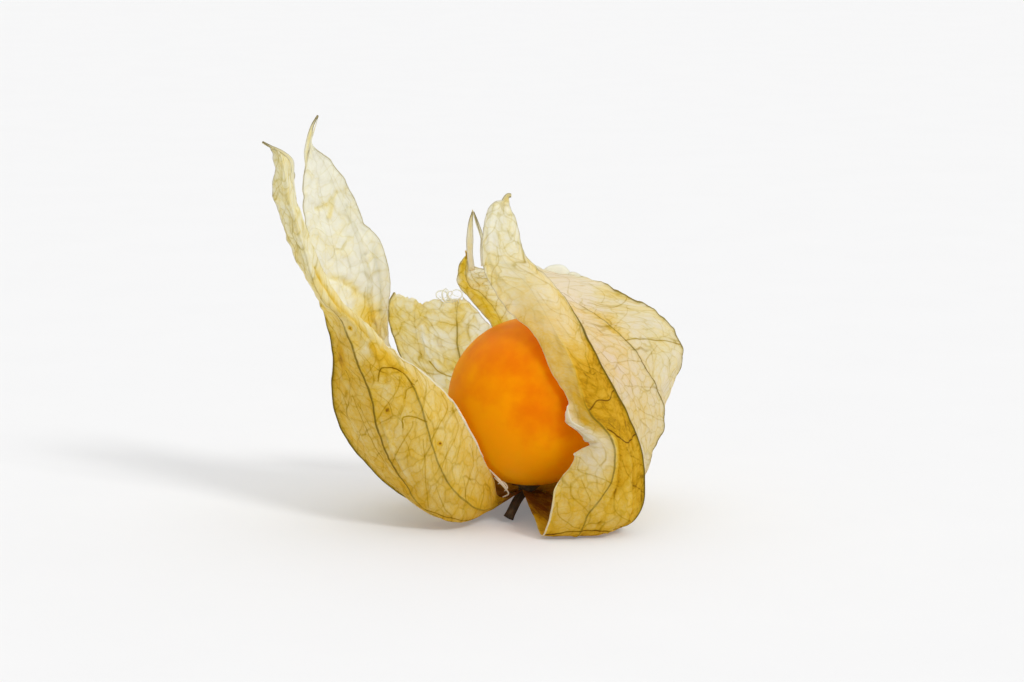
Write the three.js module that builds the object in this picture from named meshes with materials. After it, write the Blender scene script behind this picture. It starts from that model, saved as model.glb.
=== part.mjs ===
// A cape gooseberry (physalis): one ripe berry in its dry, papery husk, which has been torn open at the
// front. Two of the husk's five sepals are peeled back to the left and three still hood the berry.
// Millimetres, +Z up. The open side of the husk faces -Y. The origin is the bottom centre of the whole.
import * as THREE from 'three';

const BERRY_DIAMETER = 18;
const BERRY_HEIGHT = 12.4;          // of the berry's centre above the surface that the husk lies on
const BERRY_SCAR_DEPTH = 0.25;      // shallow flattening where the berry sits on its stalk
const BERRY_PROFILE_STEPS = 22;
const BERRY_SIDES = 36;

const STALK_RADIUS = 0.5;
const RECEPTACLE_RADIUS = 1.55;     // the stalk's flared head, which carries the berry and the husk
const STALK_STEPS = 14;
const STALK_SIDES = 12;

const SEPAL_THICKNESS = 0.35;
const SUTURE_INSET = 0.22;          // each sepal stops this far short of the seam with its neighbour
const INSET_LIMIT = 0.12;           // and never gives up more than this share of its width
const ROWS_PER_STATION = 2;
const COLUMNS_PER_LINE = 3;

// Lines that run from the stalk's head upwards over the husk. Their stations are [x, y, z], measured from
// the point on the surface under the berry's centre. Neighbouring sepals share the line of their seam.
const LEFT_SEAM = [[-2.4, 0.0, 2.6], [-5.2, -1.0, 1.8], [-9.3, -2.6, 1.8], [-12.8, -2.2, 2.6],
  [-17.2, -1.0, 6.0], [-20.2, -0.1, 9.9], [-21.0, 0.2, 13.8], [-20.8, -0.1, 16.9], [-21.5, -0.2, 21.2]];
const TORN_SEAM = [[-1.4, 1.7, 2.6], [-3.3, 6.1, 1.3], [-5.2, 9.8, 1.9]];
const BACK_SEAM = [[0.2, 1.9, 2.6], [1.9, 6.5, 0.9], [3.4, 10.6, 1.4], [4.2, 13.0, 4.6],
  [4.4, 13.8, 9.2], [3.8, 13.2, 13.8], [2.9, 11.8, 17.6], [1.6, 9.8, 20.8], [0.2, 7.8, 23.2]];
const RIGHT_SEAM = [[1.6, -0.4, 2.6], [5.8, -2.8, 1.1], [9.5, -6.4, 0.8], [11.2, -6.9, 2.4],
  [11.9, -6.5, 5.2], [10.9, -6.2, 9.3], [8.9, -6.2, 14.0], [6.6, -5.9, 18.1], [4.5, -4.8, 22.1]];

// Each sepal is a sheet through its lines, which follow each other clockwise as seen from above. The
// lines of one sepal have the same number of stations, and equal stations lie side by side.
const SEPALS = [
  {
    name: 'sepal_left_front',
    colour: 0xc7ab54,
    lines: {
      frontMargin: [[-1.7, -1.3, 2.6], [-2.9, -2.4, 3.0], [-3.8, -4.6, 5.0], [-5.1, -6.6, 7.9],
        [-6.6, -6.8, 11.0], [-8.3, -6.2, 13.7], [-10.7, -5.6, 16.1], [-14.4, -5.0, 18.7],
        [-17.4, -3.6, 21.3], [-20.5, -2.2, 23.9], [-23.4, -1.4, 29.5], [-25.0, -1.0, 34.7],
        [-25.3, -1.2, 38.2], [-27.9, -1.4, 40.2]],
      sideRib: [[-2.0, -1.0, 2.6], [-3.7, -3.2, 2.0], [-6.0, -6.6, 2.6], [-8.6, -8.4, 5.4],
        [-10.2, -8.8, 9.1], [-11.2, -8.2, 12.5], [-12.5, -7.4, 15.9], [-14.8, -6.4, 18.4],
        [-18.3, -4.6, 21.7], [-21.2, -3.4, 24.3], [-23.7, -2.8, 29.8], [-25.3, -2.6, 35.3],
        [-25.8, -2.0, 38.8], [-28.0, -1.6, 40.3]],
      midrib: [[-2.2, -0.6, 2.6], [-4.6, -3.4, 1.4], [-8.1, -6.4, 1.0], [-11.3, -6.8, 2.7],
        [-14.2, -7.2, 7.1], [-16.0, -7.0, 11.2], [-16.8, -6.4, 15.0], [-18.1, -5.6, 17.8],
        [-19.7, -3.8, 22.0], [-22.1, -3.4, 24.5], [-24.0, -3.3, 30.0], [-25.5, -3.0, 35.0],
        [-26.3, -2.3, 39.3], [-28.1, -1.8, 40.4]],
      seam: [...LEFT_SEAM, [-22.9, -0.5, 24.5], [-25.4, -0.8, 29.7], [-27.0, -0.8, 35.0],
        [-26.9, -1.7, 39.3], [-28.2, -1.6, 40.5]],
    },
  },
  {
    name: 'sepal_left_back',
    colour: 0xeae3c3,
    lines: {
      seam: [...LEFT_SEAM, [-22.7, 1.2, 24.5], [-23.5, 2.0, 29.0], [-24.1, 2.2, 33.8],
        [-23.8, 2.6, 38.3], [-22.7, 2.9, 42.5]],
      midrib: [[-2.2, 0.7, 2.6], [-5.4, 3.4, 0.7], [-9.4, 5.4, 0.5], [-13.4, 6.6, 2.6],
        [-16.8, 7.0, 6.0], [-19.0, 6.6, 10.0], [-19.6, 6.0, 13.8], [-19.0, 5.4, 17.0],
        [-19.4, 5.0, 20.6], [-20.4, 5.2, 24.3], [-21.3, 5.2, 28.8], [-22.4, 5.0, 34.1],
        [-23.0, 3.8, 38.0], [-22.6, 3.0, 42.6]],
      sideRib: [[-1.8, 1.3, 2.6], [-4.6, 5.0, 0.8], [-7.8, 8.4, 0.9], [-11.0, 9.8, 3.4],
        [-13.8, 10.2, 7.2], [-15.8, 9.8, 11.0], [-16.6, 9.0, 14.6], [-16.6, 8.0, 17.6],
        [-17.3, 7.0, 20.4], [-17.8, 6.6, 24.8], [-18.9, 6.3, 29.4], [-21.0, 5.5, 34.8],
        [-22.2, 4.6, 37.9], [-22.6, 3.1, 42.5]],
      tornMargin: [...TORN_SEAM, [-8.0, 11.0, 4.2], [-10.4, 11.2, 8.2], [-12.6, 10.6, 12.0],
        [-14.4, 9.4, 15.2], [-15.4, 8.4, 17.3], [-15.5, 7.2, 20.5], [-15.3, 6.2, 25.5],
        [-16.9, 6.0, 30.5], [-19.8, 5.3, 35.6], [-21.4, 4.8, 37.9], [-22.5, 3.2, 42.4]],
    },
  },
  {
    name: 'sepal_back',
    colour: 0xd9c991,
    lines: {
      tornMargin: [...TORN_SEAM, [-7.4, 12.0, 5.0], [-10.2, 12.2, 9.0], [-12.6, 11.8, 12.4],
        [-14.2, 11.2, 15.2], [-15.1, 10.6, 17.6], [-15.6, 10.2, 19.6], [-15.6, 9.9, 21.2],
        [-15.2, 9.6, 22.3], [-14.6, 9.4, 23.1]],
      leftRib: [[-1.0, 1.9, 2.6], [-2.0, 6.8, 0.9], [-3.6, 10.8, 1.3], [-5.8, 13.0, 4.6],
        [-8.4, 13.4, 8.6], [-10.8, 13.0, 12.2], [-12.0, 12.5, 14.8], [-12.5, 12.0, 16.9],
        [-12.8, 11.5, 18.7], [-12.8, 11.1, 20.2], [-12.5, 10.7, 21.4], [-12.2, 10.4, 22.1]],
      midrib: [[-0.6, 2.0, 2.6], [-0.9, 7.0, 0.6], [-1.3, 11.2, 0.8], [-2.8, 14.0, 4.0],
        [-4.5, 14.6, 8.2], [-6.3, 14.1, 11.6], [-7.6, 13.2, 14.2], [-8.1, 12.6, 16.4],
        [-8.2, 11.9, 18.4], [-8.2, 11.2, 20.0], [-8.0, 10.5, 21.4], [-7.9, 9.9, 22.5]],
      stripEdge: [[-0.2, 2.0, 2.6], [0.4, 7.0, 0.7], [0.8, 11.2, 0.9], [0.4, 14.0, 4.2],
        [-0.6, 14.6, 8.8], [-1.8, 13.8, 12.8], [-2.8, 12.8, 15.8], [-4.0, 11.4, 18.0],
        [-5.1, 10.2, 20.0], [-6.8, 8.6, 22.3], [-8.0, 6.8, 25.0], [-7.3, 5.5, 27.6]],
      seam: [...BACK_SEAM, [-2.8, 7.0, 24.9], [-5.6, 5.9, 25.9], [-6.9, 5.3, 27.5]],
    },
  },
  {
    name: 'sepal_right_back',
    colour: 0xe2ca98,
    lines: {
      backSeam: [...BACK_SEAM, [-2.4, 6.0, 25.9], [-4.3, 4.8, 27.3], [-5.9, 3.5, 29.6],
        [-6.4, 3.0, 32.4]],
      backRib: [[0.8, 1.5, 2.6], [4.0, 4.8, 0.6], [7.6, 8.0, 0.4], [9.6, 10.2, 4.0],
        [10.8, 11.0, 8.0], [11.9, 10.9, 12.4], [11.2, 10.4, 16.6], [9.2, 9.2, 20.2],
        [6.2, 7.6, 23.2], [2.4, 5.8, 25.4], [-2.3, 4.2, 26.9], [-5.7, 3.2, 29.7], [-6.3, 2.9, 32.6]],
      midrib: [[1.1, 1.0, 2.6], [5.2, 3.0, 0.7], [9.2, 4.6, 0.9], [11.2, 5.8, 4.2],
        [12.2, 6.4, 8.2], [14.7, 6.8, 12.8], [16.2, 6.8, 16.1], [14.7, 6.4, 19.6],
        [11.1, 5.8, 22.2], [6.2, 4.8, 24.8], [-0.2, 3.8, 26.3], [-5.4, 3.0, 29.8], [-6.2, 2.8, 32.6]],
      frontRib: [[1.4, 0.4, 2.6], [5.6, 0.6, 0.9], [9.8, -1.2, 1.2], [11.7, -1.4, 3.7],
        [13.1, -0.8, 7.1], [13.9, 1.7, 11.5], [12.1, 1.0, 15.7], [9.6, 0.6, 19.3],
        [6.4, 0.4, 21.8], [2.6, 1.0, 24.2], [-2.4, 1.8, 26.5], [-5.1, 2.5, 29.6], [-6.0, 2.6, 32.5]],
      frontSeam: [...RIGHT_SEAM, [1.4, -1.8, 24.8], [-2.5, 0.6, 26.5], [-4.9, 2.0, 29.2],
        [-5.9, 2.5, 32.4]],
    },
  },
  {
    name: 'sepal_right_front',
    colour: 0xcfad62,
    lines: {
      seam: [...RIGHT_SEAM, [2.2, -4.0, 25.8], [-0.8, -3.0, 28.7], [-1.5, -2.4, 31.4],
        [-2.2, -2.0, 33.4], [-2.4, -1.7, 34.7]],
      belly: [[1.3, -1.0, 2.6], [4.5, -5.0, 0.8], [7.6, -8.8, 0.5], [9.6, -8.8, 1.8],
        [10.5, -8.6, 5.3], [9.9, -8.5, 9.5], [7.4, -8.5, 14.2], [5.5, -7.8, 18.2],
        [3.5, -6.2, 22.2], [1.4, -4.7, 25.8], [-1.3, -3.4, 28.7], [-2.1, -2.8, 31.3],
        [-2.5, -2.3, 33.3], [-2.5, -1.9, 34.8]],
      innerRib: [[1.0, -1.4, 2.6], [2.9, -6.0, 0.9], [5.2, -10.0, 0.4], [6.1, -10.8, 3.0],
        [8.3, -10.4, 6.3], [8.2, -10.2, 10.1], [5.7, -9.8, 13.6], [4.1, -8.8, 18.0],
        [2.0, -6.8, 21.8], [-0.2, -4.7, 25.4], [-3.1, -3.4, 28.4], [-3.5, -2.8, 31.3],
        [-3.2, -2.3, 33.3], [-2.7, -2.0, 34.8]],
      frontMargin: [[0.6, -1.6, 2.6], [-0.1, -6.2, 2.1], [1.1, -10.3, 0.5], [2.0, -11.0, 3.6],
        [2.3, -10.8, 5.5], [4.3, -9.6, 9.0], [3.8, -9.3, 14.1], [2.1, -8.5, 17.2],
        [0.0, -6.2, 21.2], [-2.5, -4.3, 23.0], [-5.0, -3.0, 27.3], [-5.1, -2.4, 31.2],
        [-4.3, -2.1, 33.8], [-2.9, -1.9, 34.7]],
    },
  },
];

const point = ([x, y, z]) => new THREE.Vector3(x, y, z);
const smoothLine = (points) => new THREE.CatmullRomCurve3(points, false, 'centripetal');

// One row of a sepal: points spread evenly over its width, short of the seams on both sides.
function rowAcross(curves, along, columns) {
  const across = smoothLine(curves.map((curve) => curve.getPoint(along)));
  const inset = Math.min(SUTURE_INSET / across.getLength(), INSET_LIMIT);
  return Array.from({ length: columns + 1 }, (_, column) => (
    across.getPointAt(inset + (1 - 2 * inset) * (column / columns))));
}

// The grid's outward normals, from the neighbouring points along and across the sheet.
function gridNormals(rows) {
  const last = rows.length - 1;
  return rows.map((row, r) => row.map((_, c) => {
    const along = rows[Math.min(r + 1, last)][c].clone().sub(rows[Math.max(r - 1, 0)][c]);
    const across = row[Math.min(c + 1, row.length - 1)].clone().sub(row[Math.max(c - 1, 0)]);
    return along.cross(across).normalize();
  }));
}

// A thin closed sheet: the inner face is the grid itself and the outer face stands off along its normals.
function sepalGeometry(lines) {
  const curves = lines.map((line) => smoothLine(line.map(point)));
  const rowCount = (lines[0].length - 1) * ROWS_PER_STATION;
  const columnCount = (lines.length - 1) * COLUMNS_PER_LINE;
  const inner = Array.from({ length: rowCount + 1 }, (_, r) => rowAcross(curves, r / rowCount, columnCount));
  const normals = gridNormals(inner);
  const outer = inner.map((row, r) => row.map((p, c) => (
    p.clone().addScaledVector(normals[r][c], SEPAL_THICKNESS))));

  const width = columnCount + 1;
  const faceSize = (rowCount + 1) * width;
  const positions = [...outer.flat(), ...inner.flat()].flatMap((p) => [p.x, p.y, p.z]);
  const outerAt = (r, c) => r * width + c;
  const innerAt = (r, c) => faceSize + outerAt(r, c);
  const triangles = [];
  const quad = (a, b, c, d) => triangles.push(a, b, c, a, c, d);
  for (let r = 0; r < rowCount; r += 1) {
    for (let c = 0; c < columnCount; c += 1) {
      quad(outerAt(r, c), outerAt(r + 1, c), outerAt(r + 1, c + 1), outerAt(r, c + 1));
      quad(innerAt(r, c), innerAt(r, c + 1), innerAt(r + 1, c + 1), innerAt(r + 1, c));
    }
    quad(outerAt(r, 0), innerAt(r, 0), innerAt(r + 1, 0), outerAt(r + 1, 0));
    quad(outerAt(r, columnCount), outerAt(r + 1, columnCount),
      innerAt(r + 1, columnCount), innerAt(r, columnCount));
  }
  for (let c = 0; c < columnCount; c += 1) {
    quad(outerAt(0, c), outerAt(0, c + 1), innerAt(0, c + 1), innerAt(0, c));
    quad(outerAt(rowCount, c), innerAt(rowCount, c), innerAt(rowCount, c + 1), outerAt(rowCount, c + 1));
  }
  const geometry = new THREE.BufferGeometry();
  geometry.setAttribute('position', new THREE.Float32BufferAttribute(positions, 3));
  geometry.setIndex(triangles);
  geometry.computeVertexNormals();
  return geometry;
}

// A round berry, turned about its own axis, a little flattened where it meets the stalk.
function berryGeometry() {
  const radius = BERRY_DIAMETER / 2;
  const profile = Array.from({ length: BERRY_PROFILE_STEPS + 1 }, (_, step) => {
    const angle = Math.PI * (step / BERRY_PROFILE_STEPS);
    const flattening = BERRY_SCAR_DEPTH * Math.exp(-((angle / 0.2) ** 2));
    return new THREE.Vector2(radius * Math.sin(angle), flattening - radius * Math.cos(angle));
  });
  profile[0].x = 0;
  profile[BERRY_PROFILE_STEPS].x = 0;
  return new THREE.LatheGeometry(profile, BERRY_SIDES).rotateX(Math.PI / 2);
}

// The stalk: a bent round stem whose head flares into the small disc that the berry and husk grow from.
function stalkGeometry() {
  const route = smoothLine([[-2.7, -1.9, 0.35], [-1.9, -1.2, 1.0], [-1.0, -0.3, 1.7], [-0.5, 0.0, 2.3],
    [-0.4, 0.1, 3.15]].map(point));
  const frames = route.computeFrenetFrames(STALK_STEPS, false);
  const positions = [];
  const triangles = [];
  for (let step = 0; step <= STALK_STEPS; step += 1) {
    const along = step / STALK_STEPS;
    const flare = THREE.MathUtils.smoothstep(along, 0.55, 0.95);
    const radius = STALK_RADIUS + (RECEPTACLE_RADIUS - STALK_RADIUS) * flare;
    const centre = route.getPointAt(along);
    for (let side = 0; side < STALK_SIDES; side += 1) {
      const angle = (2 * Math.PI * side) / STALK_SIDES;
      const spot = centre.clone()
        .addScaledVector(frames.normals[step], radius * Math.cos(angle))
        .addScaledVector(frames.binormals[step], radius * Math.sin(angle));
      positions.push(spot.x, spot.y, spot.z);
    }
  }
  const ringStart = (step) => step * STALK_SIDES;
  const footCentre = ringStart(STALK_STEPS + 1);
  const headCentre = footCentre + 1;
  positions.push(...route.getPointAt(0).toArray(), ...route.getPointAt(1).toArray());
  for (let side = 0; side < STALK_SIDES; side += 1) {
    const next = (side + 1) % STALK_SIDES;
    for (let step = 0; step < STALK_STEPS; step += 1) {
      const low = ringStart(step);
      const high = ringStart(step + 1);
      triangles.push(low + side, low + next, high + next, low + side, high + next, high + side);
    }
    triangles.push(footCentre, next, side);
    triangles.push(headCentre, ringStart(STALK_STEPS) + side, ringStart(STALK_STEPS) + next);
  }
  const geometry = new THREE.BufferGeometry();
  geometry.setAttribute('position', new THREE.Float32BufferAttribute(positions, 3));
  geometry.setIndex(triangles);
  geometry.computeVertexNormals();
  return geometry;
}

function piece(name, geometry, colour, roughness, side = THREE.FrontSide) {
  const mesh = new THREE.Mesh(geometry, new THREE.MeshStandardMaterial({ color: colour, roughness, side }));
  mesh.name = name;
  return mesh;
}

const fruit = new THREE.Group();
const berry = piece('berry', berryGeometry(), 0xee8800, 0.3);
berry.position.z = BERRY_HEIGHT;
fruit.add(berry, piece('stalk', stalkGeometry(), 0x3a2a18, 0.8));
for (const { name, colour, lines } of SEPALS) {
  fruit.add(piece(name, sepalGeometry(Object.values(lines)), colour, 0.75, THREE.DoubleSide));
}

// Stand the fruit on the surface, with the origin at the bottom centre of its box.
const box = new THREE.Box3().setFromObject(fruit, true);
const middle = box.getCenter(new THREE.Vector3());
fruit.position.set(-middle.x, -middle.y, -box.min.z);

const group = new THREE.Group();
group.add(fruit);
export default group;
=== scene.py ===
import math
import random

import bpy
import numpy as np
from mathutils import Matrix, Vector, noise


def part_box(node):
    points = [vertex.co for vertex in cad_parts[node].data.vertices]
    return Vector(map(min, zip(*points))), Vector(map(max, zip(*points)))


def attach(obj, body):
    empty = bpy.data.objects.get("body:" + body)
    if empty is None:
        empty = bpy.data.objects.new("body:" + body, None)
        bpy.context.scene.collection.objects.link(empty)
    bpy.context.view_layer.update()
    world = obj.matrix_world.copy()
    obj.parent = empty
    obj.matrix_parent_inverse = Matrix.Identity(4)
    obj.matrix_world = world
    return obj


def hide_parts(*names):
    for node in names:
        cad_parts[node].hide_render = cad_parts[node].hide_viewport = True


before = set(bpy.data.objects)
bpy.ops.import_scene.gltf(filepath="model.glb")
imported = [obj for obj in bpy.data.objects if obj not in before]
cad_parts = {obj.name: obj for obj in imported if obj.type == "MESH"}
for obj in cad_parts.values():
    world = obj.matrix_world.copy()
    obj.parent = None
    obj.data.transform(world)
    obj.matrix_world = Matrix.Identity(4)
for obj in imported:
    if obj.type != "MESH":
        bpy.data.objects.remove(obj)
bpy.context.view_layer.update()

# ---------------------------------------------------------------------------------------------
# Where things are. Everything below is worked out in millimetres from the point on the surface
# under the berry's centre, and put() turns it into the frame's metres.
# ---------------------------------------------------------------------------------------------
MM = 0.001
berry_low, berry_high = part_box("berry")
BERRY_RADIUS = (berry_high.x - berry_low.x) / 2 / MM
FOOT = Vector(((berry_low.x + berry_high.x) / 2, (berry_low.y + berry_high.y) / 2, 0))
BERRY_HEIGHT = berry_high.z / MM - BERRY_RADIUS
BERRY_INSET = 0.03                  # keeps the berry's lumps inside the frame's berry
BERRY_LUMPS = 0.05
BERRY_SCAR = (0.28, 0.20)           # depth, and reach in radians, where it sits on its stalk
BERRY_DIMPLE = (0.10, 0.06)         # the same for the dimple at its top
STALK_RADIUS = 0.49
HEAD_FLARE = 1.05                   # that the stalk's head is wider on each side
CUT_SPREAD = 0.14                   # that the stalk's cut foot is wider, as a share of its radius
DRAWN_HEIGHT = 12.4                 # the berry centre's height that the husk lines were drawn with
SETTLE = 0.13                       # the husk lies lower, as it is thinner than the frame's shells
LIFT = BERRY_HEIGHT - DRAWN_HEIGHT - SETTLE


def put(points):
    """Drawn millimetres as the frame's metres."""
    return (np.asarray(points, float) + (0, 0, LIFT)) * MM + np.array(FOOT)


# ---------------------------------------------------------------------------------------------
# The husk's lines, from the stalk's head upwards. Neighbouring sepals share their seam.
# ---------------------------------------------------------------------------------------------
LEFT_SEAM = [(-2.4, 0.0, 2.6), (-5.2, -1.0, 1.8), (-9.3, -2.6, 1.8), (-12.8, -2.2, 2.6),
             (-17.2, -1.0, 6.0), (-20.2, -0.1, 9.9), (-21.0, 0.2, 13.8), (-20.8, -0.1, 16.9),
             (-21.5, -0.2, 21.2)]
TORN_SEAM = [(-1.4, 1.7, 2.6), (-3.3, 6.1, 1.3), (-5.2, 9.8, 1.9)]
BACK_SEAM = [(0.2, 1.9, 2.6), (1.9, 6.5, 0.9), (3.4, 10.6, 1.4), (4.2, 13.0, 4.6),
             (4.4, 13.8, 9.2), (3.8, 13.2, 13.8), (2.9, 11.8, 17.6), (1.6, 9.8, 20.8),
             (0.2, 7.8, 23.2)]
RIGHT_SEAM = [(1.6, -0.4, 2.6), (5.8, -2.8, 1.1), (9.5, -6.4, 0.7), (11.0, -6.9, 2.1),
              (11.5, -6.5, 5.2), (10.9, -6.2, 9.3), (8.9, -6.2, 14.0), (6.6, -5.9, 18.1),
              (4.5, -4.8, 22.1)]
LEFT_FRONT = [
    [(-1.1, -1.6, 3.2), (-2.7, -2.4, 3.0), (-3.8, -4.6, 5.0), (-5.1, -6.6, 7.9), (-6.6, -6.8, 11.0),
     (-8.3, -6.2, 13.7), (-10.7, -5.6, 16.1), (-14.4, -5.0, 18.7), (-17.4, -3.6, 21.3),
     (-20.5, -2.2, 23.9), (-23.4, -1.4, 29.5), (-25.0, -1.0, 34.7), (-25.3, -1.2, 38.2),
     (-28.1, -1.5, 40.3)],
    [(-1.4, -1.5, 3.0), (-3.7, -3.2, 2.0), (-6.0, -6.6, 2.6), (-8.6, -8.4, 5.4),
     (-10.2, -8.8, 9.1), (-11.2, -8.2, 12.5), (-12.5, -7.4, 15.9), (-14.8, -6.4, 18.4),
     (-18.3, -4.6, 21.7), (-21.2, -3.4, 24.3), (-23.7, -2.8, 29.8), (-25.3, -2.6, 35.3),
     (-25.8, -2.0, 38.8), (-28.1, -1.6, 40.3)],
    [(-1.8, -1.0, 2.8), (-4.6, -3.4, 1.4), (-8.1, -6.4, 1.0), (-11.3, -6.8, 2.7),
     (-14.2, -7.2, 7.1), (-16.0, -7.0, 11.2), (-16.8, -6.4, 15.0), (-18.1, -5.6, 17.8),
     (-19.7, -3.8, 22.0), (-22.1, -3.4, 24.5), (-24.0, -3.3, 30.0), (-25.5, -3.0, 35.0),
     (-26.3, -2.3, 39.3), (-28.2, -1.7, 40.4)],
    LEFT_SEAM + [(-22.9, -0.5, 24.5), (-25.4, -0.8, 29.7), (-27.0, -0.8, 35.0),
                 (-26.9, -1.7, 39.3), (-28.2, -1.6, 40.4)],
]
LEFT_BACK = [
    LEFT_SEAM + [(-22.7, 1.2, 24.5), (-23.5, 2.0, 29.0), (-24.1, 2.2, 33.8), (-23.8, 2.6, 38.2),
                 (-22.6, 3.0, 42.6)],
    [(-2.2, 0.7, 2.6), (-5.4, 3.4, 0.7), (-9.4, 5.4, 0.5), (-13.4, 6.6, 2.6), (-16.8, 7.0, 6.0),
     (-19.0, 6.6, 10.0), (-19.6, 6.0, 13.8), (-19.0, 5.4, 17.0), (-19.4, 5.0, 20.6),
     (-20.4, 5.2, 24.3), (-21.3, 5.2, 28.8), (-22.4, 5.0, 34.1), (-23.0, 3.8, 38.0),
     (-22.6, 3.0, 42.7)],
    [(-1.8, 1.3, 2.6), (-4.6, 5.0, 0.8), (-7.8, 8.4, 0.9), (-11.0, 9.8, 3.4), (-13.8, 10.2, 7.2),
     (-15.8, 9.8, 11.0), (-16.6, 9.0, 14.6), (-16.6, 8.0, 17.6), (-17.3, 7.0, 20.4),
     (-17.8, 6.6, 24.8), (-18.9, 6.3, 29.4), (-21.0, 5.5, 34.8), (-22.2, 4.6, 37.9),
     (-22.6, 3.1, 42.7)],
    TORN_SEAM + [(-8.0, 11.0, 4.2), (-10.4, 11.2, 8.2), (-12.6, 10.6, 12.0), (-14.4, 9.4, 15.2),
                 (-15.4, 8.4, 17.3), (-15.5, 7.2, 20.5), (-15.3, 6.2, 25.5), (-16.9, 6.0, 30.5),
                 (-19.8, 5.3, 35.6), (-21.4, 4.8, 37.9), (-22.5, 3.2, 42.6)],
]
SLIT = [(-0.2, 2.0, 2.6), (0.4, 7.0, 0.7), (0.8, 11.2, 0.9), (0.4, 14.0, 4.2), (-0.6, 14.6, 8.8),
        (-1.8, 13.8, 12.8), (-2.8, 12.8, 15.8)]
BACK = [
    TORN_SEAM + [(-7.4, 12.0, 5.0), (-10.2, 12.2, 9.0), (-12.6, 11.8, 12.4), (-14.2, 11.2, 15.2),
                 (-15.1, 10.6, 17.6), (-15.6, 10.2, 19.6), (-15.6, 9.9, 21.2), (-15.2, 9.6, 22.3),
                 (-14.6, 9.4, 23.1)],
    [(-1.0, 1.9, 2.6), (-2.0, 6.8, 0.9), (-3.6, 10.8, 1.3), (-5.8, 13.0, 4.6), (-8.4, 13.4, 8.6),
     (-10.8, 13.0, 12.2), (-12.0, 12.5, 14.8), (-12.5, 12.0, 16.9), (-12.8, 11.5, 18.7),
     (-12.8, 11.1, 20.2), (-12.5, 10.7, 21.4), (-12.2, 10.4, 22.1)],
    [(-0.6, 2.0, 2.6), (-0.9, 7.0, 0.6), (-1.3, 11.2, 0.8), (-2.8, 14.0, 4.0), (-4.5, 14.6, 8.2),
     (-6.3, 14.1, 11.6), (-7.6, 13.2, 14.2), (-8.1, 12.6, 16.4), (-8.2, 11.9, 18.4),
     (-8.2, 11.2, 20.0), (-8.0, 10.5, 21.4), (-7.9, 9.9, 22.5)],
    SLIT + [(-4.1, 11.8, 18.1), (-5.1, 11.0, 19.7), (-6.0, 10.5, 20.8), (-6.8, 10.1, 21.7),
            (-7.5, 9.8, 22.4)],
]
STRIP = [
    SLIT + [(-4.0, 11.4, 18.0), (-5.1, 10.2, 20.0), (-6.5, 9.0, 21.8), (-8.0, 7.2, 24.0),
            (-7.7, 6.2, 26.6), (-7.1, 5.5, 27.7)],
    [(0.0, 2.0, 2.6), (0.9, 7.0, 0.7), (1.5, 11.2, 0.9), (1.2, 14.0, 4.3), (0.4, 14.5, 9.0),
     (-0.9, 13.6, 13.0), (-2.0, 12.5, 16.2), (-3.0, 11.0, 18.5), (-4.0, 9.7, 20.8),
     (-5.4, 8.2, 22.8), (-6.9, 6.6, 24.1), (-7.2, 5.8, 26.6), (-7.1, 5.4, 27.7)],
    [(0.1, 2.0, 2.6), (1.4, 6.8, 0.8), (2.4, 11.0, 1.1), (2.6, 13.7, 4.4), (2.4, 14.3, 9.1),
     (1.4, 13.6, 13.6), (0.3, 12.2, 16.9), (-1.0, 10.4, 19.6), (-2.3, 8.6, 22.0),
     (-4.0, 7.4, 23.9), (-6.2, 6.2, 25.0), (-7.0, 5.6, 26.8), (-7.0, 5.4, 27.7)],
    BACK_SEAM + [(-2.8, 7.0, 24.9), (-5.2, 6.0, 25.8), (-6.9, 5.3, 26.6), (-7.0, 5.3, 27.7)],
]
RIGHT_BACK = [
    BACK_SEAM + [(-2.4, 6.0, 25.9), (-4.3, 4.8, 27.3), (-5.5, 3.4, 29.6), (-6.3, 3.0, 32.6)],
    [(0.8, 1.5, 2.6), (4.0, 4.8, 0.6), (7.6, 8.0, 0.4), (9.6, 10.2, 4.0), (10.8, 11.0, 8.0),
     (11.9, 10.9, 12.4), (11.2, 10.4, 16.6), (9.2, 9.2, 20.2), (6.2, 7.6, 23.2), (2.4, 5.8, 25.4),
     (-2.3, 4.2, 26.9), (-5.4, 3.2, 29.7), (-6.3, 2.9, 32.7)],
    [(1.1, 1.0, 2.6), (5.2, 3.0, 0.7), (9.2, 4.6, 0.9), (11.2, 5.8, 4.2), (12.2, 6.4, 8.2),
     (14.7, 6.8, 12.8), (16.2, 6.8, 16.1), (14.7, 6.4, 19.6), (11.1, 5.8, 22.2), (6.2, 4.8, 24.8),
     (-0.2, 3.8, 26.3), (-5.3, 3.0, 29.8), (-6.2, 2.8, 32.7)],
    [(1.4, 0.4, 2.6), (5.6, 0.6, 0.9), (9.2, -1.6, 1.2), (10.5, -2.4, 3.7), (12.5, -2.0, 7.1),
     (14.0, 1.2, 11.5), (12.1, 1.0, 15.7), (9.6, 0.6, 19.3), (6.4, 0.4, 21.8), (2.6, 1.0, 24.2),
     (-2.4, 1.8, 26.5), (-5.2, 2.6, 29.6), (-6.2, 2.7, 32.7)],
    RIGHT_SEAM + [(1.4, -1.8, 24.8), (-2.5, 0.6, 26.5), (-5.1, 2.2, 29.3), (-6.2, 2.6, 32.6)],
]
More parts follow.
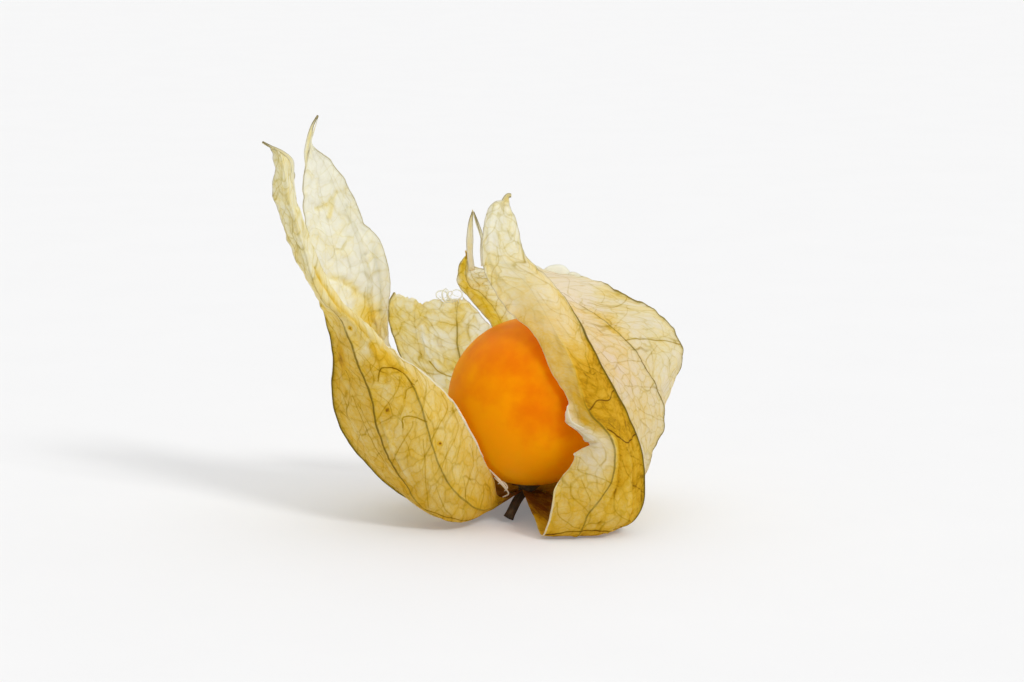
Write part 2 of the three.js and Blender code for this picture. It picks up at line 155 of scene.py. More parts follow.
RIGHT_FRONT = [
    RIGHT_SEAM + [(2.2, -4.0, 25.8), (-0.8, -3.0, 28.7), (-1.5, -2.4, 31.4), (-2.2, -2.0, 33.4),
                  (-2.4, -1.7, 34.7)],
    [(0.7, -1.4, 2.8), (4.4, -5.0, 0.8), (7.9, -8.8, 0.35), (9.8, -8.8, 1.5), (10.4, -8.6, 5.3),
     (9.9, -8.5, 9.5), (7.4, -8.5, 14.2), (5.5, -7.8, 18.2), (3.5, -6.2, 22.2), (1.4, -4.7, 25.8),
     (-1.3, -3.4, 28.7), (-2.1, -2.8, 31.3), (-2.5, -2.3, 33.3), (-2.5, -1.9, 34.8)],
    [(-0.2, -1.7, 3.0), (2.7, -6.0, 0.9), (4.6, -10.1, 0.4), (5.8, -10.8, 3.0), (8.1, -10.4, 6.3),
     (8.2, -10.2, 10.1), (5.7, -9.8, 13.6), (4.1, -8.8, 18.0), (2.0, -6.8, 21.8),
     (-0.2, -4.7, 25.4), (-3.1, -3.4, 28.4), (-3.5, -2.8, 31.3), (-3.2, -2.3, 33.3),
     (-2.7, -2.0, 34.8)],
    [(-1.0, -1.7, 3.3), (-0.1, -6.2, 2.1), (1.1, -10.3, 0.5), (2.0, -11.0, 3.6), (2.3, -10.8, 5.5),
     (4.3, -9.5, 9.0), (3.8, -9.2, 14.1), (2.1, -8.4, 17.2), (0.0, -6.1, 21.2),
     (-2.5, -4.2, 23.0), (-5.0, -3.0, 27.3), (-5.1, -2.4, 31.2), (-4.3, -2.1, 33.8),
     (-2.9, -1.9, 34.7)],
]


# ---------------------------------------------------------------------------------------------
# Curves and grids
# ---------------------------------------------------------------------------------------------
ROUTE_STEP = 0.1                    # mm between the points of a route over a sheet


def spline(points, at):
    """Centripetal Catmull-Rom through points, at stations counted from 0 to len(points) - 1.
    points may be (stations, 3), or (stations, many, 3) for many curves at once."""
    p = np.asarray(points, float)
    p = np.concatenate([2 * p[:1] - p[1:2], p, 2 * p[-1:] - p[-2:-1]])
    at = np.atleast_1d(np.asarray(at, float))
    k = np.clip(at.astype(int), 0, len(p) - 4)
    gap = np.maximum(np.linalg.norm(np.diff(p, axis=0), axis=-1), 1e-4) ** 0.5
    extra = (None,) * (p.ndim - 2)
    f = (at - k)[(slice(None),) + extra + (None,)]
    d0, d1, d2 = (gap[k + i][..., None] for i in range(3))
    p0, p1, p2, p3 = (p[k + i] for i in range(4))
    start = ((p1 - p0) / d0 - (p2 - p0) / (d0 + d1) + (p2 - p1) / d1) * d1
    end = ((p2 - p1) / d1 - (p3 - p1) / (d1 + d2) + (p3 - p2) / d2) * d1
    return (p1 * (1 - 3 * f ** 2 + 2 * f ** 3) + p2 * (3 * f ** 2 - 2 * f ** 3)
            + start * (f - 2 * f ** 2 + f ** 3) + end * (f ** 3 - f ** 2))


def smooth(low, high, x):
    """0 below low, 1 above high, smooth between. low may be above high."""
    t = np.clip((np.asarray(x, float) - low) / (high - low), 0, 1)
    return t * t * (3 - 2 * t)


def hill(distance, reach):
    """1 at distance 0, falling smoothly to about a third at reach."""
    return np.exp(-(distance / reach) ** 2)


def drawn(stops, at):
    """Values read off the straight lines through (place, value) stops."""
    return np.interp(at, *zip(*stops))


def unit(vectors):
    """Each vector of an array at length 1."""
    return vectors / np.maximum(np.linalg.norm(vectors, axis=-1, keepdims=True), 1e-9)


def away(grid, point):
    """Each grid point's distance from one point."""
    return np.linalg.norm(grid - point, axis=-1)


def wander(points, size, seed):
    """Smooth noise from about -1 to 1 at each point, with lumps about size across and half that."""
    flat = np.asarray(points, float).reshape(-1, 3) / size + seed * 17.3
    total = np.zeros(len(flat))
    for finer in (1, 2):
        total += [noise.noise(Vector(p)) / finer for p in flat * finer]
    return total.reshape(np.shape(points)[:-1])


def outward(grid):
    """Unit normals of a grid of points, away from the berry's side of the husk."""
    return unit(np.cross(np.gradient(grid, axis=0), np.gradient(grid, axis=1)))


def run(grid, axis):
    """Distance walked along a grid's rows or columns, from the first point."""
    step = np.linalg.norm(np.diff(grid, axis=axis), axis=-1)
    walked = np.cumsum(step, axis=axis)
    return np.insert(walked, 0, 0, axis=axis)


def place_on(grid, columns, at, places):
    """Points of a grid at (line, station) places."""
    line, station = np.asarray(places, float).T
    c = np.interp(line, columns, np.arange(len(columns)))
    r = np.interp(station, at, np.arange(len(at)))
    c0 = np.minimum(c.astype(int), len(columns) - 2)
    r0 = np.minimum(r.astype(int), len(at) - 2)
    fc, fr = (c - c0)[:, None], (r - r0)[:, None]
    near = grid[r0, c0] * (1 - fc) + grid[r0, c0 + 1] * fc
    far = grid[r0 + 1, c0] * (1 - fc) + grid[r0 + 1, c0 + 1] * fc
    return near * (1 - fr) + far * fr


def trace(grid, columns, at, places):
    """A route through (line, station) places, as points about ROUTE_STEP apart on the grid."""
    last = len(places) - 1

    def route(count):
        flat = spline([(line, station, 0) for line, station in places], np.linspace(0, last, count))
        return place_on(grid, columns, at, flat[:, :2])

    length = run(route(12 * last + 1), 0)[-1]
    return route(max(8, int(length / ROUTE_STEP)))


def nearest(grid, route, normal):
    """Each grid point's distance from a route, its signed distance to the side of it, and how far
    it lies beyond the route's ends."""
    way = unit(np.gradient(route, axis=0))
    best = np.full(grid.shape[:2], 1e9)
    aside = np.zeros(grid.shape[:2])
    beyond = np.zeros(grid.shape[:2])
    for point, step in zip(route, way):
        offset = grid - point
        distance = np.linalg.norm(offset, axis=-1)
        nearer = distance < best
        best = np.where(nearer, distance, best)
        side = np.cross(normal, step)
        aside = np.where(nearer, (offset * side).sum(-1), aside)
        beyond = np.where(nearer, np.abs(offset @ step), beyond)
    return best, aside, beyond


# ---------------------------------------------------------------------------------------------
# Shells
# ---------------------------------------------------------------------------------------------
def shell(grid, thickness, attributes):
    """Points, faces and attributes of a thin closed shell around a grid of drawn points."""
    rows, columns = grid.shape[:2]
    half = outward(grid) * np.broadcast_to(thickness, grid.shape[:2])[..., None] / 2
    points = put(np.concatenate([(grid + half).reshape(-1, 3), (grid - half).reshape(-1, 3)]))
    index = np.arange(rows * columns).reshape(rows, columns)
    far = index + rows * columns

    def quads(a, b, c, d):
        return np.stack([a, b, c, d], axis=-1).reshape(-1, 4)

    faces = np.concatenate([
        quads(index[:-1, :-1], index[1:, :-1], index[1:, 1:], index[:-1, 1:]),
        quads(far[:-1, :-1], far[:-1, 1:], far[1:, 1:], far[1:, :-1]),
        quads(index[:-1, 0], far[:-1, 0], far[1:, 0], index[1:, 0]),
        quads(index[:-1, -1], index[1:, -1], far[1:, -1], far[:-1, -1]),
        quads(index[0, :-1], index[0, 1:], far[0, 1:], far[0, :-1]),
        quads(index[-1, :-1], far[-1, :-1], far[-1, 1:], index[-1, 1:]),
    ])
    values = {key: np.concatenate([value.reshape(rows * columns, -1)] * 2)
              for key, value in attributes.items()}
    return points, faces, values


def show(mesh, node, material):
    """Puts a mesh in the scene as the visible piece that stands for one node of the frame."""
    mesh.shade_smooth()
    mesh.materials.append(material)
    piece = bpy.data.objects.new(mesh.name, mesh)
    bpy.context.collection.objects.link(piece)
    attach(piece, "root")
    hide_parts(node)


def build(name, node, shells, material):
    """One visible piece made of closed shells."""
    faces, start = [], 0
    for points, quads, _ in shells:
        faces.append(quads + start)
        start += len(points)
    mesh = bpy.data.meshes.new(name)
    mesh.from_pydata(np.concatenate([s[0] for s in shells]).tolist(), [], np.concatenate(faces).tolist())
    for key in shells[0][2]:
        values = np.concatenate([s[2][key] for s in shells])
        kind, field = ("FLOAT_VECTOR", "vector") if values.shape[1] == 3 else ("FLOAT", "value")
        mesh.attributes.new(key, kind, "POINT").data.foreach_set(field, values.ravel())
    show(mesh, node, material)


def ringed(name, rings, foot, head):
    """A closed mesh through rings of drawn points between two end points. The rings run from the
    foot to the head, and each one anticlockwise, seen from the head."""
    count, sides = rings.shape[:2]
    around = [(c, (c + 1) % sides) for c in range(sides)]
    faces = [(r + c, r + n, r + sides + n, r + sides + c)
             for r in range(0, (count - 1) * sides, sides) for c, n in around]
    top = (count - 1) * sides
    faces += [(count * sides, n, c) for c, n in around]
    faces += [(count * sides + 1, top + c, top + n) for c, n in around]
    mesh = bpy.data.meshes.new(name)
    points = np.concatenate([rings.reshape(-1, 3), [foot, head]])
    mesh.from_pydata(put(points).tolist(), [], faces)
    return mesh


# ---------------------------------------------------------------------------------------------
# Sepals
# ---------------------------------------------------------------------------------------------
GRID_STEP = 0.20                    # mm between neighbouring points of a sheet, about
MEMBRANE = 0.09                     # mm thick between the veins
RIB_EXTRA = 0.18                    # mm that a main rib is thicker than that
RIB_REACH = 0.17                    # mm from a rib's middle to where it fades
RIBBON_FACES = 4                    # across a loose strand
RIBBON_STEPS = 9                    # along it, from one place of its route to the next
CURLS_AT = 0.52                     # of the low wall's width, where the curls on its top stand
CURL_STEPS = 9
TORN_REACH = 3.0                    # mm that a margin can be drawn out beyond its line
NOWHERE = 9.0                       # mm, an attribute's distance where there is nothing near
WAVER = 0.12                        # mm that the drawn lines waver, away from the stalk's head
STALK_HEAD = (-0.5, 0, 2.5)
HUSK_BASE = (0, 4.5, 1)             # middle of the darkening on the husk's inside: the calyx base's own brown and painted shade under the berry
INNER_DARK_AND_SHADE = (7.5, 12.0)           # mm from there, dark up to the first and fading to the second


def divided(lengths, least):
    """Stations with steps of about GRID_STEP over stretches of these lengths, one at each end."""
    stations = [0.0]
    for k, length in enumerate(lengths):
        count = max(least, int(round(length / GRID_STEP)))
        stations += [k + (i + 1) / count for i in range(count)]
    return np.array(stations)


def pull_margin(grid, start, cut):
    """Draws the last column back by cut millimetres on each row, or out where cut is below 0. The
    columns from start on follow it in proportion."""
    part = grid[:, start:]
    beyond = part[:, -1] + unit(part[:, -1] - part[:, -2]) * TORN_REACH
    part = np.concatenate([part, beyond[:, None]], axis=1)
    walked = run(part, 1)
    whole = walked[:, -2:-1]
    wanted = walked[:, :-1] * (1 - np.minimum(cut[:, None] / np.maximum(whole, 1e-6), 0.92))
    result = grid.copy()
    for r in range(len(grid)):
        for axis in range(3):
            result[r, start:, axis] = np.interp(wanted[r], walked[r], part[r, :, axis])
    return result


def torn(along, seed):
    """How far in a torn edge lies along its length, from 0 to about 1: lumps with sharp nicks."""
    spots = np.stack([along, 0 * along, 0 * along], axis=-1)
    lumps = 0.5 + 0.9 * wander(spots, 1.7, seed)
    nicks = 1 - 2.4 * np.abs(wander(spots, 0.8, seed + 5))
    return np.clip(lumps, 0, 1) * 0.6 + np.clip(nicks, 0, 1) ** 2 * 0.5


def wavering(grid):
    """The grid with its lines a little unsteady. Points that two sheets share move alike."""
    drift = np.stack([wander(grid, 2.3, 40 + axis) for axis in range(3)], axis=-1)
    return grid + WAVER * drift * smooth(2.0, 5.0, away(grid, STALK_HEAD))[..., None]


def spread(stations, rows, at):
    """Rows given at some stations, worked out at every one."""
    return np.stack([np.interp(at, stations, column) for column in rows.T], axis=-1)


class Sheet:
    """A stretch of husk between lines drawn from the stalk's head upwards. Lengths are in mm.

    lines    a list of point lists, each counted in stations, and clockwise seen from above
    seed     what its unevenness, its torn edges and its rows of side veins are drawn from
    tone     one number or (station, ((line, tone), ...)) rows
    ribs     how strong the vein on a line is, by the line's number: one number or (station, strength)
    free     for the first and the last line, the station from which it is a free margin
    cuts     for the first and the last line, how far its margin is torn back, by station
    rag      how deep the torn margins' fine raggedness is, for the first and last line
    top      the same as cuts for the end of the sheet, by line, and rag_top its raggedness
    tip      line, two stations and the share of the width left: the sheet narrows to a strand
    folds    (places, height, half width, tone): ridges along (line, station) places
    veins    (strength, places) of single side veins
    sides    (line, line, first station, last station, gap, strength): rows of side veins that leave
             the first line and loop upwards before the second
    spots    (x, y, z, radius, tone): stains, and painted shade on the base under the berry and along feet on the floor
    net      how strong the vein net is, and plain the (x, y, z, radius) places without it
    puff     how much the sheet swells between its lines, crumple and wrinkle how deep its wide and
             its fine unevenness are, and curl how far its two margins bend outwards
    """

    def __init__(self, lines, seed, tone, ribs, free, cuts=((), ()), rag=(0, 0), top=(), rag_top=0,
                 tip=None, folds=(), veins=(), spots=(), puff=0.10, crumple=0.18, wrinkle=0.10,
                 curl=(0, 0), net=1.0, plain=(), sides=()):
        self.seed = seed
        rough = np.asarray(lines, float)
        self.at = divided(np.linalg.norm(np.diff(rough, axis=1), axis=-1).mean(axis=0), 4)
        rows = [spline(line, self.at) for line in lines]
        widths = [np.percentile(np.linalg.norm(b - a, axis=-1), 80) for a, b in zip(rows, rows[1:])]
        self.columns = divided(widths, 5)
        self.grid = wavering(spline(rows, self.columns).transpose(1, 0, 2))
        self.line_at = [int(np.argmin(np.abs(self.columns - k))) for k in range(len(lines))]
        self.tear(free, cuts, rag, top, rag_top)
        if tip:
            self.narrow(*tip)
        self.measure(ribs, free)
        self.tone_and_shade(tone, spots, folds, net, plain)
        self.swell(puff, crumple, wrinkle, curl)
        self.fold(folds)
        self.side_veins(list(veins) + self.looped(sides))

    def route(self, places):
        """A route over this sheet through (line, station) places."""
        return trace(self.grid, self.columns, self.at, places)

    def tear(self, free, cuts, rag, top, rag_top):
        """Pulls the two margins and the end of the sheet back to where they are torn."""
        for side in (0, 1):
            if cuts[side] or rag[side]:
                view = self.grid if side else self.grid[:, ::-1]
                start = self.line_at[-2] if side else view.shape[1] - 1 - self.line_at[1]
                along = run(view, 0)[:, -1]
                cut = drawn(cuts[side], self.at) if cuts[side] else 0 * self.at
                cut = cut + rag[side] * torn(along, self.seed + side) * smooth(
                    free[side], free[side] + 0.5, self.at)
                view = pull_margin(view, start, cut)
                self.grid = view if side else view[:, ::-1]
        if top or rag_top:
            start = int(np.argmin(np.abs(self.at - (self.at[-1] - 3))))
            cut = drawn(top, self.columns) + rag_top * torn(run(self.grid, 1)[-1], self.seed + 3)
            self.grid = pull_margin(self.grid.transpose(1, 0, 2), start, cut).transpose(1, 0, 2)

    def narrow(self, line, start, stop, share):
        """Draws the sheet in towards one line, to a share of its width from stop onwards."""
        middle = self.grid[:, self.line_at[line]][:, None]
        left = 1 - (1 - share) * smooth(start, stop, self.at)[:, None, None]
        self.grid = middle + (self.grid - middle) * left

    def measure(self, ribs, free):
        """How far each point lies from the sheet's ribs and free margins, and how strong the rib is."""
        grid, at = self.grid, self.at
        self.along = run(grid, 0)
        self.across = run(grid, 1)
        self.width = self.across[:, -1:]
        self.rib = np.full(grid.shape[:2], NOWHERE)
        self.power = np.zeros(grid.shape[:2])
        for k, strength in ribs.items():
            if not isinstance(strength, float):
                strength = drawn(strength, at)[:, None]
            distance = np.abs(self.across - self.across[:, self.line_at[k]][:, None])
            nearer = distance < self.rib
            self.rib = np.where(nearer, distance, self.rib)
            self.power = np.where(nearer, strength, self.power)
        self.slim = smooth(0.8, 3.0, self.width)
        self.power = self.power * smooth(0.2, 1.4, self.width)
        opened = [NOWHERE * (1 - smooth(f - 0.2, f + 0.4, at))[:, None] for f in free]
        self.margin = [self.across + opened[0], self.width - self.across + opened[1]]
        self.edge = np.minimum(*self.margin)

    def tone_and_shade(self, tone, spots, folds, net, plain):
        """How bleached or brown each point is, painted shade included, and how strong the vein net is
        there.
        """
        if not isinstance(tone, float):
            rows = [drawn(row, self.columns) for _, row in tone]
            tone = spread([station for station, _ in tone], np.array(rows), self.at)
        self.tone = tone + 0.07 * hill(self.rib, 0.6) * np.minimum(self.power, 1) * self.slim
        for x, y, z, radius, value in spots:
            self.tone += (value - self.tone) * hill(away(self.grid, (x, y, z)), radius)
        for places, _, half_width, value in folds:
            if value is not None:
                distance, _, _ = nearest(self.grid, self.route(places), outward(self.grid))
                self.tone += (value - self.tone) * hill(distance, half_width)
        self.net = np.full(self.grid.shape[:2], float(net))
        for x, y, z, radius in plain:
            self.net *= 1 - hill(away(self.grid, (x, y, z)), radius)

    def swell(self, puff, crumple, wrinkle, curl):
        """Lifts the sheet between its ribs, crumples it, and raises its ribs and margins."""
        grid, at = self.grid, self.at
        belly = np.zeros(grid.shape[:2])
        for a, b in zip(self.line_at, self.line_at[1:]):
            span = (self.across[:, b] - self.across[:, a])[:, None]
            f = (self.across[:, a:b + 1] - self.across[:, a:a + 1]) / np.maximum(span, 1e-6)
            belly[:, a:b + 1] = f * (1 - f) * np.minimum(span, 6)
        roots = smooth(0.8, 2.6, at)[:, None]
        calm = smooth(0, 0.7, np.minimum(self.across, self.width - self.across)) * roots
        thin = smooth(0.3, 2.2, self.width)
        big = wander(grid, 3.6, self.seed)
        sharp = 0.28 - np.abs(wander(grid, 2.1, self.seed + 9))
        fine = 0.28 - np.abs(wander(grid, 0.95, self.seed + 4))
        lift = puff * belly * smooth(1, 4, at)[:, None]
        lift += (crumple * (big * 0.8 + sharp) + wrinkle * fine) * calm * thin
        lift += 0.13 * hill(self.rib, 0.32) * np.minimum(self.power, 1.2) * self.slim * roots
        for margin, amount in zip(self.margin, curl):
            flutter = 0.25 * wander(grid, 1.3, self.seed + 2)
            lift += (amount + flutter) * hill(margin, 0.55) * thin * smooth(2, 4, at)[:, None]
        self.grid = grid + outward(grid) * lift[..., None]

    def fold(self, folds):
        """Raises a ridge along each fold, or sinks a groove where its height is below 0."""
        normal = outward(self.grid)
        for places, height, half_width, _ in folds:
            distance, _, _ = nearest(self.grid, self.route(places), normal)
            self.grid = self.grid + normal * (height * hill(distance, half_width))[..., None]

    def looped(self, sides):
        """The (strength, places) of rows of side veins, each a little different."""
        pick = random.Random(self.seed)
        veins = []
        for a, b, station, last, gap, strength in sides:
            span = b - a
            while station < last:
                rise = gap * (0.85 + 0.5 * pick.random())
                reach = 0.62 + 0.2 * pick.random()
                veins.append((strength * (0.7 + 0.5 * pick.random()), [
                    (a, station), (a + span * 0.30, station + rise * (0.2 + 0.12 * pick.random())),
                    (a + span * reach, station + rise * (0.55 + 0.2 * pick.random())),
                    (a + span * (reach + 0.10), station + rise * 1.15)]))
                station += gap * (0.75 + 0.5 * pick.random())
        return veins

    def side_veins(self, veins):
        """How far each point lies to the side of the nearest side vein, and how strong that is."""
        normal = outward(self.grid)
        self.vein = np.full(self.grid.shape[:2], NOWHERE)
        self.vein_power = np.zeros(self.grid.shape[:2])
        for strength, places in veins:
            distance, aside, beyond = nearest(self.grid, self.route(places), normal)
            power = strength * smooth(0.55, 0.35, distance) * smooth(0.25, 0.1, beyond)
            mine = power > self.vein_power
            self.vein = np.where(mine, aside, self.vein)
            self.vein_power = np.where(mine, power, self.vein_power)

    def shell(self):
        """The finished sheet, thinner towards its margins, and darker on the inside of its base: partly
        the calyx base's own brown, partly painted shade under the berry.
        """
        thickness = MEMBRANE + RIB_EXTRA * self.power * hill(self.rib, RIB_REACH)
        thickness = thickness * (1 - 0.45 * hill(self.edge, 0.25))
        sheet = np.stack([self.across + self.seed * 31.7, self.along + self.seed * 11.3,
                          0 * self.across], axis=-1)
        made = shell(self.grid, thickness, {
            "sheet": sheet, "rib": self.rib, "rib_power": self.power, "edge": self.edge,
            "tone": self.tone, "net": self.net, "vein": self.vein, "vein_power": self.vein_power})
        # painted shade under the berry, with the calyx base's own brown: the inside turns dark near
        # HUSK_BASE
        base = smooth(INNER_DARK_AND_SHADE[1], INNER_DARK_AND_SHADE[0], away(self.grid, HUSK_BASE))
        inner = made[2]["tone"][self.grid[..., 0].size:]
        inner += (0.98 - inner) * base.reshape(-1, 1)
        return made

    def trim(self, places, width, tone):
        """A raised rounded band along (line, station) places, tapering to both ends."""
        route = self.route(places)[::6]
        facing = place_on(outward(self.grid), self.columns, self.at, places).mean(axis=0)
        widths = width * (0.15 + 0.85 * np.sin(np.linspace(0, math.pi, len(route))) ** 0.5)
        return ribbon(list(route + facing * 0.06), widths, facing, 0.9, tone, 0.08)

    def shreds(self, count, first, last, length, draw):
        """Small torn shreds along the last line's margin between two stations."""
        made = []
        margin = self.grid[:, -1]
        inner = self.grid[:, -3]
        normal = outward(self.grid)[:, -1]
        rows = np.flatnonzero((self.at > first) & (self.at < last))
        for _ in range(count):
            r = rows[int(draw.random() * len(rows))]
            out = unit(margin[r] - inner[r])
            lean = unit(self.grid[min(r + 3, len(self.at) - 1), 0] - self.grid[r, 0])
            reach = length * (0.4 + 0.9 * draw.random())
            slant = draw.random() * 1.6 - 0.6
            bend = draw.random() * 1.4 - 0.5
            way = (out + lean * slant) * reach
            lift = normal[r] * bend * reach
            route = [inner[r], margin[r] + way * 0.35 + lift * 0.15, margin[r] + way * 0.8 + lift * 0.7]
            width = 0.35 + 0.5 * draw.random()
            made.append(ribbon(route, [width, width * 0.8, 0.06], normal[r], 0.0, 0.15))
        return made


def ribbon(route, widths, facing, cup, tone, thickness=0.05, power=0):
    """A narrow closed strip along a route, facing one way. cup bends its edges back. tone, and power,
    which is how dark its edges are, are one number or one for each place on the route."""
    at = np.linspace(0, len(route) - 1, RIBBON_STEPS * (len(route) - 1) + 1)
    centre = spline(route, at)
    way = np.gradient(centre, axis=0)
    side = unit(np.cross(way, facing))
    up = unit(np.cross(side, way))
    half = np.interp(at, np.arange(len(widths)), widths)[:, None, None] / 2
    u = np.linspace(1, -1, RIBBON_FACES + 1)[None, :, None]
    grid = centre[:, None] + side[:, None] * half * u - up[:, None] * cup * half * u ** 2
    flat = np.zeros(grid.shape[:2])
    tones, powers = (np.interp(at, np.arange(len(route)), np.broadcast_to(values, len(route)))[:, None]
                     for values in (tone, power))
    edge = (1 - np.abs(u[..., 0])) * half[..., 0]
    sheet = np.stack([run(grid, 1), run(grid, 0), flat], axis=-1) + abs(route[0][0]) * 7
    return shell(grid, thickness, {
        "sheet": sheet, "rib": edge, "rib_power": flat + powers, "edge": edge,
        "tone": flat + tones, "net": flat, "vein": flat + NOWHERE, "vein_power": flat})


# ---------------------------------------------------------------------------------------------
# Materials
# ---------------------------------------------------------------------------------------------
class Value:
    """A number, colour or shader that a material works out. Arithmetic adds Math nodes."""

    def __init__(self, finish, socket):
        self.finish = finish
        self.socket = socket

    def math(self, operation, *values):
        return self.finish.node("ShaderNodeMath", {"operation": operation}, *values)

    def __add__(self, other):
        return self.math("ADD", self, other)

    def __radd__(self, other):
        return self.math("ADD", other, self)

    def __sub__(self, other):
        return self.math("SUBTRACT", self, other)

    def __rsub__(self, other):
        return self.math("SUBTRACT", other, self)

    def __mul__(self, other):
        return self.math("MULTIPLY", self, other)

    def __rmul__(self, other):
        return self.math("MULTIPLY", other, self)

    def clip(self):
        return self.finish.node("ShaderNodeClamp", {}, self)


class Finish:
    """The nodes that one material, or the world, is made of."""

    def __init__(self, owner, output="ShaderNodeOutputMaterial"):
        owner.use_nodes = True
        self.owner = owner
        self.tree = owner.node_tree
        self.tree.nodes.clear()
        self.out = self.tree.nodes.new(output)

    def node(self, kind, settings, *values, out=0, **named):
        """Adds a node. values fill its sockets in order, None leaving one as it is, and named ones
        fill the socket of that name, with underscores for spaces."""
        made = self.tree.nodes.new(kind)
        for key, setting in settings.items():
            if key == "stops":
                self.fill_ramp(made.color_ramp, setting)
            else:
                setattr(made, key, setting)
        sockets = [s for s in made.inputs if s.enabled]
        pairs = list(zip(sockets, values))
        pairs += [(next(s for s in sockets if s.name == key.replace("_", " ")), value)
                  for key, value in named.items()]
        for socket, value in pairs:
            if isinstance(value, Value):
                self.tree.links.new(value.socket, socket)
            elif value is not None:
                socket.default_value = value
        outputs = [s for s in made.outputs if s.enabled]
        return Value(self, outputs[out] if isinstance(out, int) else made.outputs[out])

    def fill_ramp(self, ramp, stops):
        while len(ramp.elements) < len(stops):
            ramp.elements.new(0.5)
        for element, (position, rgb) in zip(ramp.elements, stops):
            element.position = position
            element.color = colour(*rgb)

    def attribute(self, name, out="Fac"):
        return self.node("ShaderNodeAttribute", {"attribute_name": name}, out=out)

    def between(self, value, low, high):
        """0 at low and 1 at high, smooth between. low may be above high."""
        return self.node("ShaderNodeMapRange", {"interpolation_type": "SMOOTHSTEP"},
                         value, low, high, 0.0, 1.0)

    def noise(self, place, scale, detail=3.0, rough=0.55, out="Fac"):
        return self.node("ShaderNodeTexNoise", {}, place, out=out, Scale=scale, Detail=detail,
                         Roughness=rough)

    def cells(self, place, size, feature="DISTANCE_TO_EDGE", out=0):
        """Voronoi cells about size across."""
        return self.node("ShaderNodeTexVoronoi", {"voronoi_dimensions": "2D", "feature": feature},
                         place, out=out, Scale=1 / size, Randomness=0.9)

    def net(self, place, size, line):
        """Lines between cells about size across. They are about line wide, with soft edges."""
        return self.between(self.cells(place, size), line * 1.1 / size, line * 0.1 / size)

    def mix(self, factor, a, b, blend="MIX"):
        return self.node("ShaderNodeMix", {"data_type": "RGBA", "blend_type": blend}, factor, a, b)

    def ramp(self, value, *stops):
        return self.node("ShaderNodeValToRGB", {"stops": stops}, value)

    def bump(self, height, strength, distance):
        return self.node("ShaderNodeBump", {}, Height=height, Strength=strength, Distance=distance)

    def blend(self, factor, a, b):
        return self.node("ShaderNodeMixShader", {}, factor, a, b)

    def finish(self, shader):
        self.tree.links.new(shader.socket, self.out.inputs["Surface"])
        return self.owner


def colour(*rgb):
    """Linear colour with its alpha."""
    return (*rgb, 1.0)


HUSK_TONES = (                      # from bleached through straw and gold to dried brown
    (0.00, (0.985, 0.980, 0.900)),
    (0.22, (0.975, 0.935, 0.660)),
    (0.45, (0.920, 0.800, 0.290)),
    (0.62, (0.860, 0.640, 0.075)),
    (0.78, (0.745, 0.450, 0.010)),
    (0.92, (0.470, 0.245, 0.030)),
    (1.00, (0.265, 0.078, 0.012)),
)


BRANCH_CELL, NET_CELL, MESH_CELL = 3.1, 1.45, 0.60     # mm across, of the three nets of veins


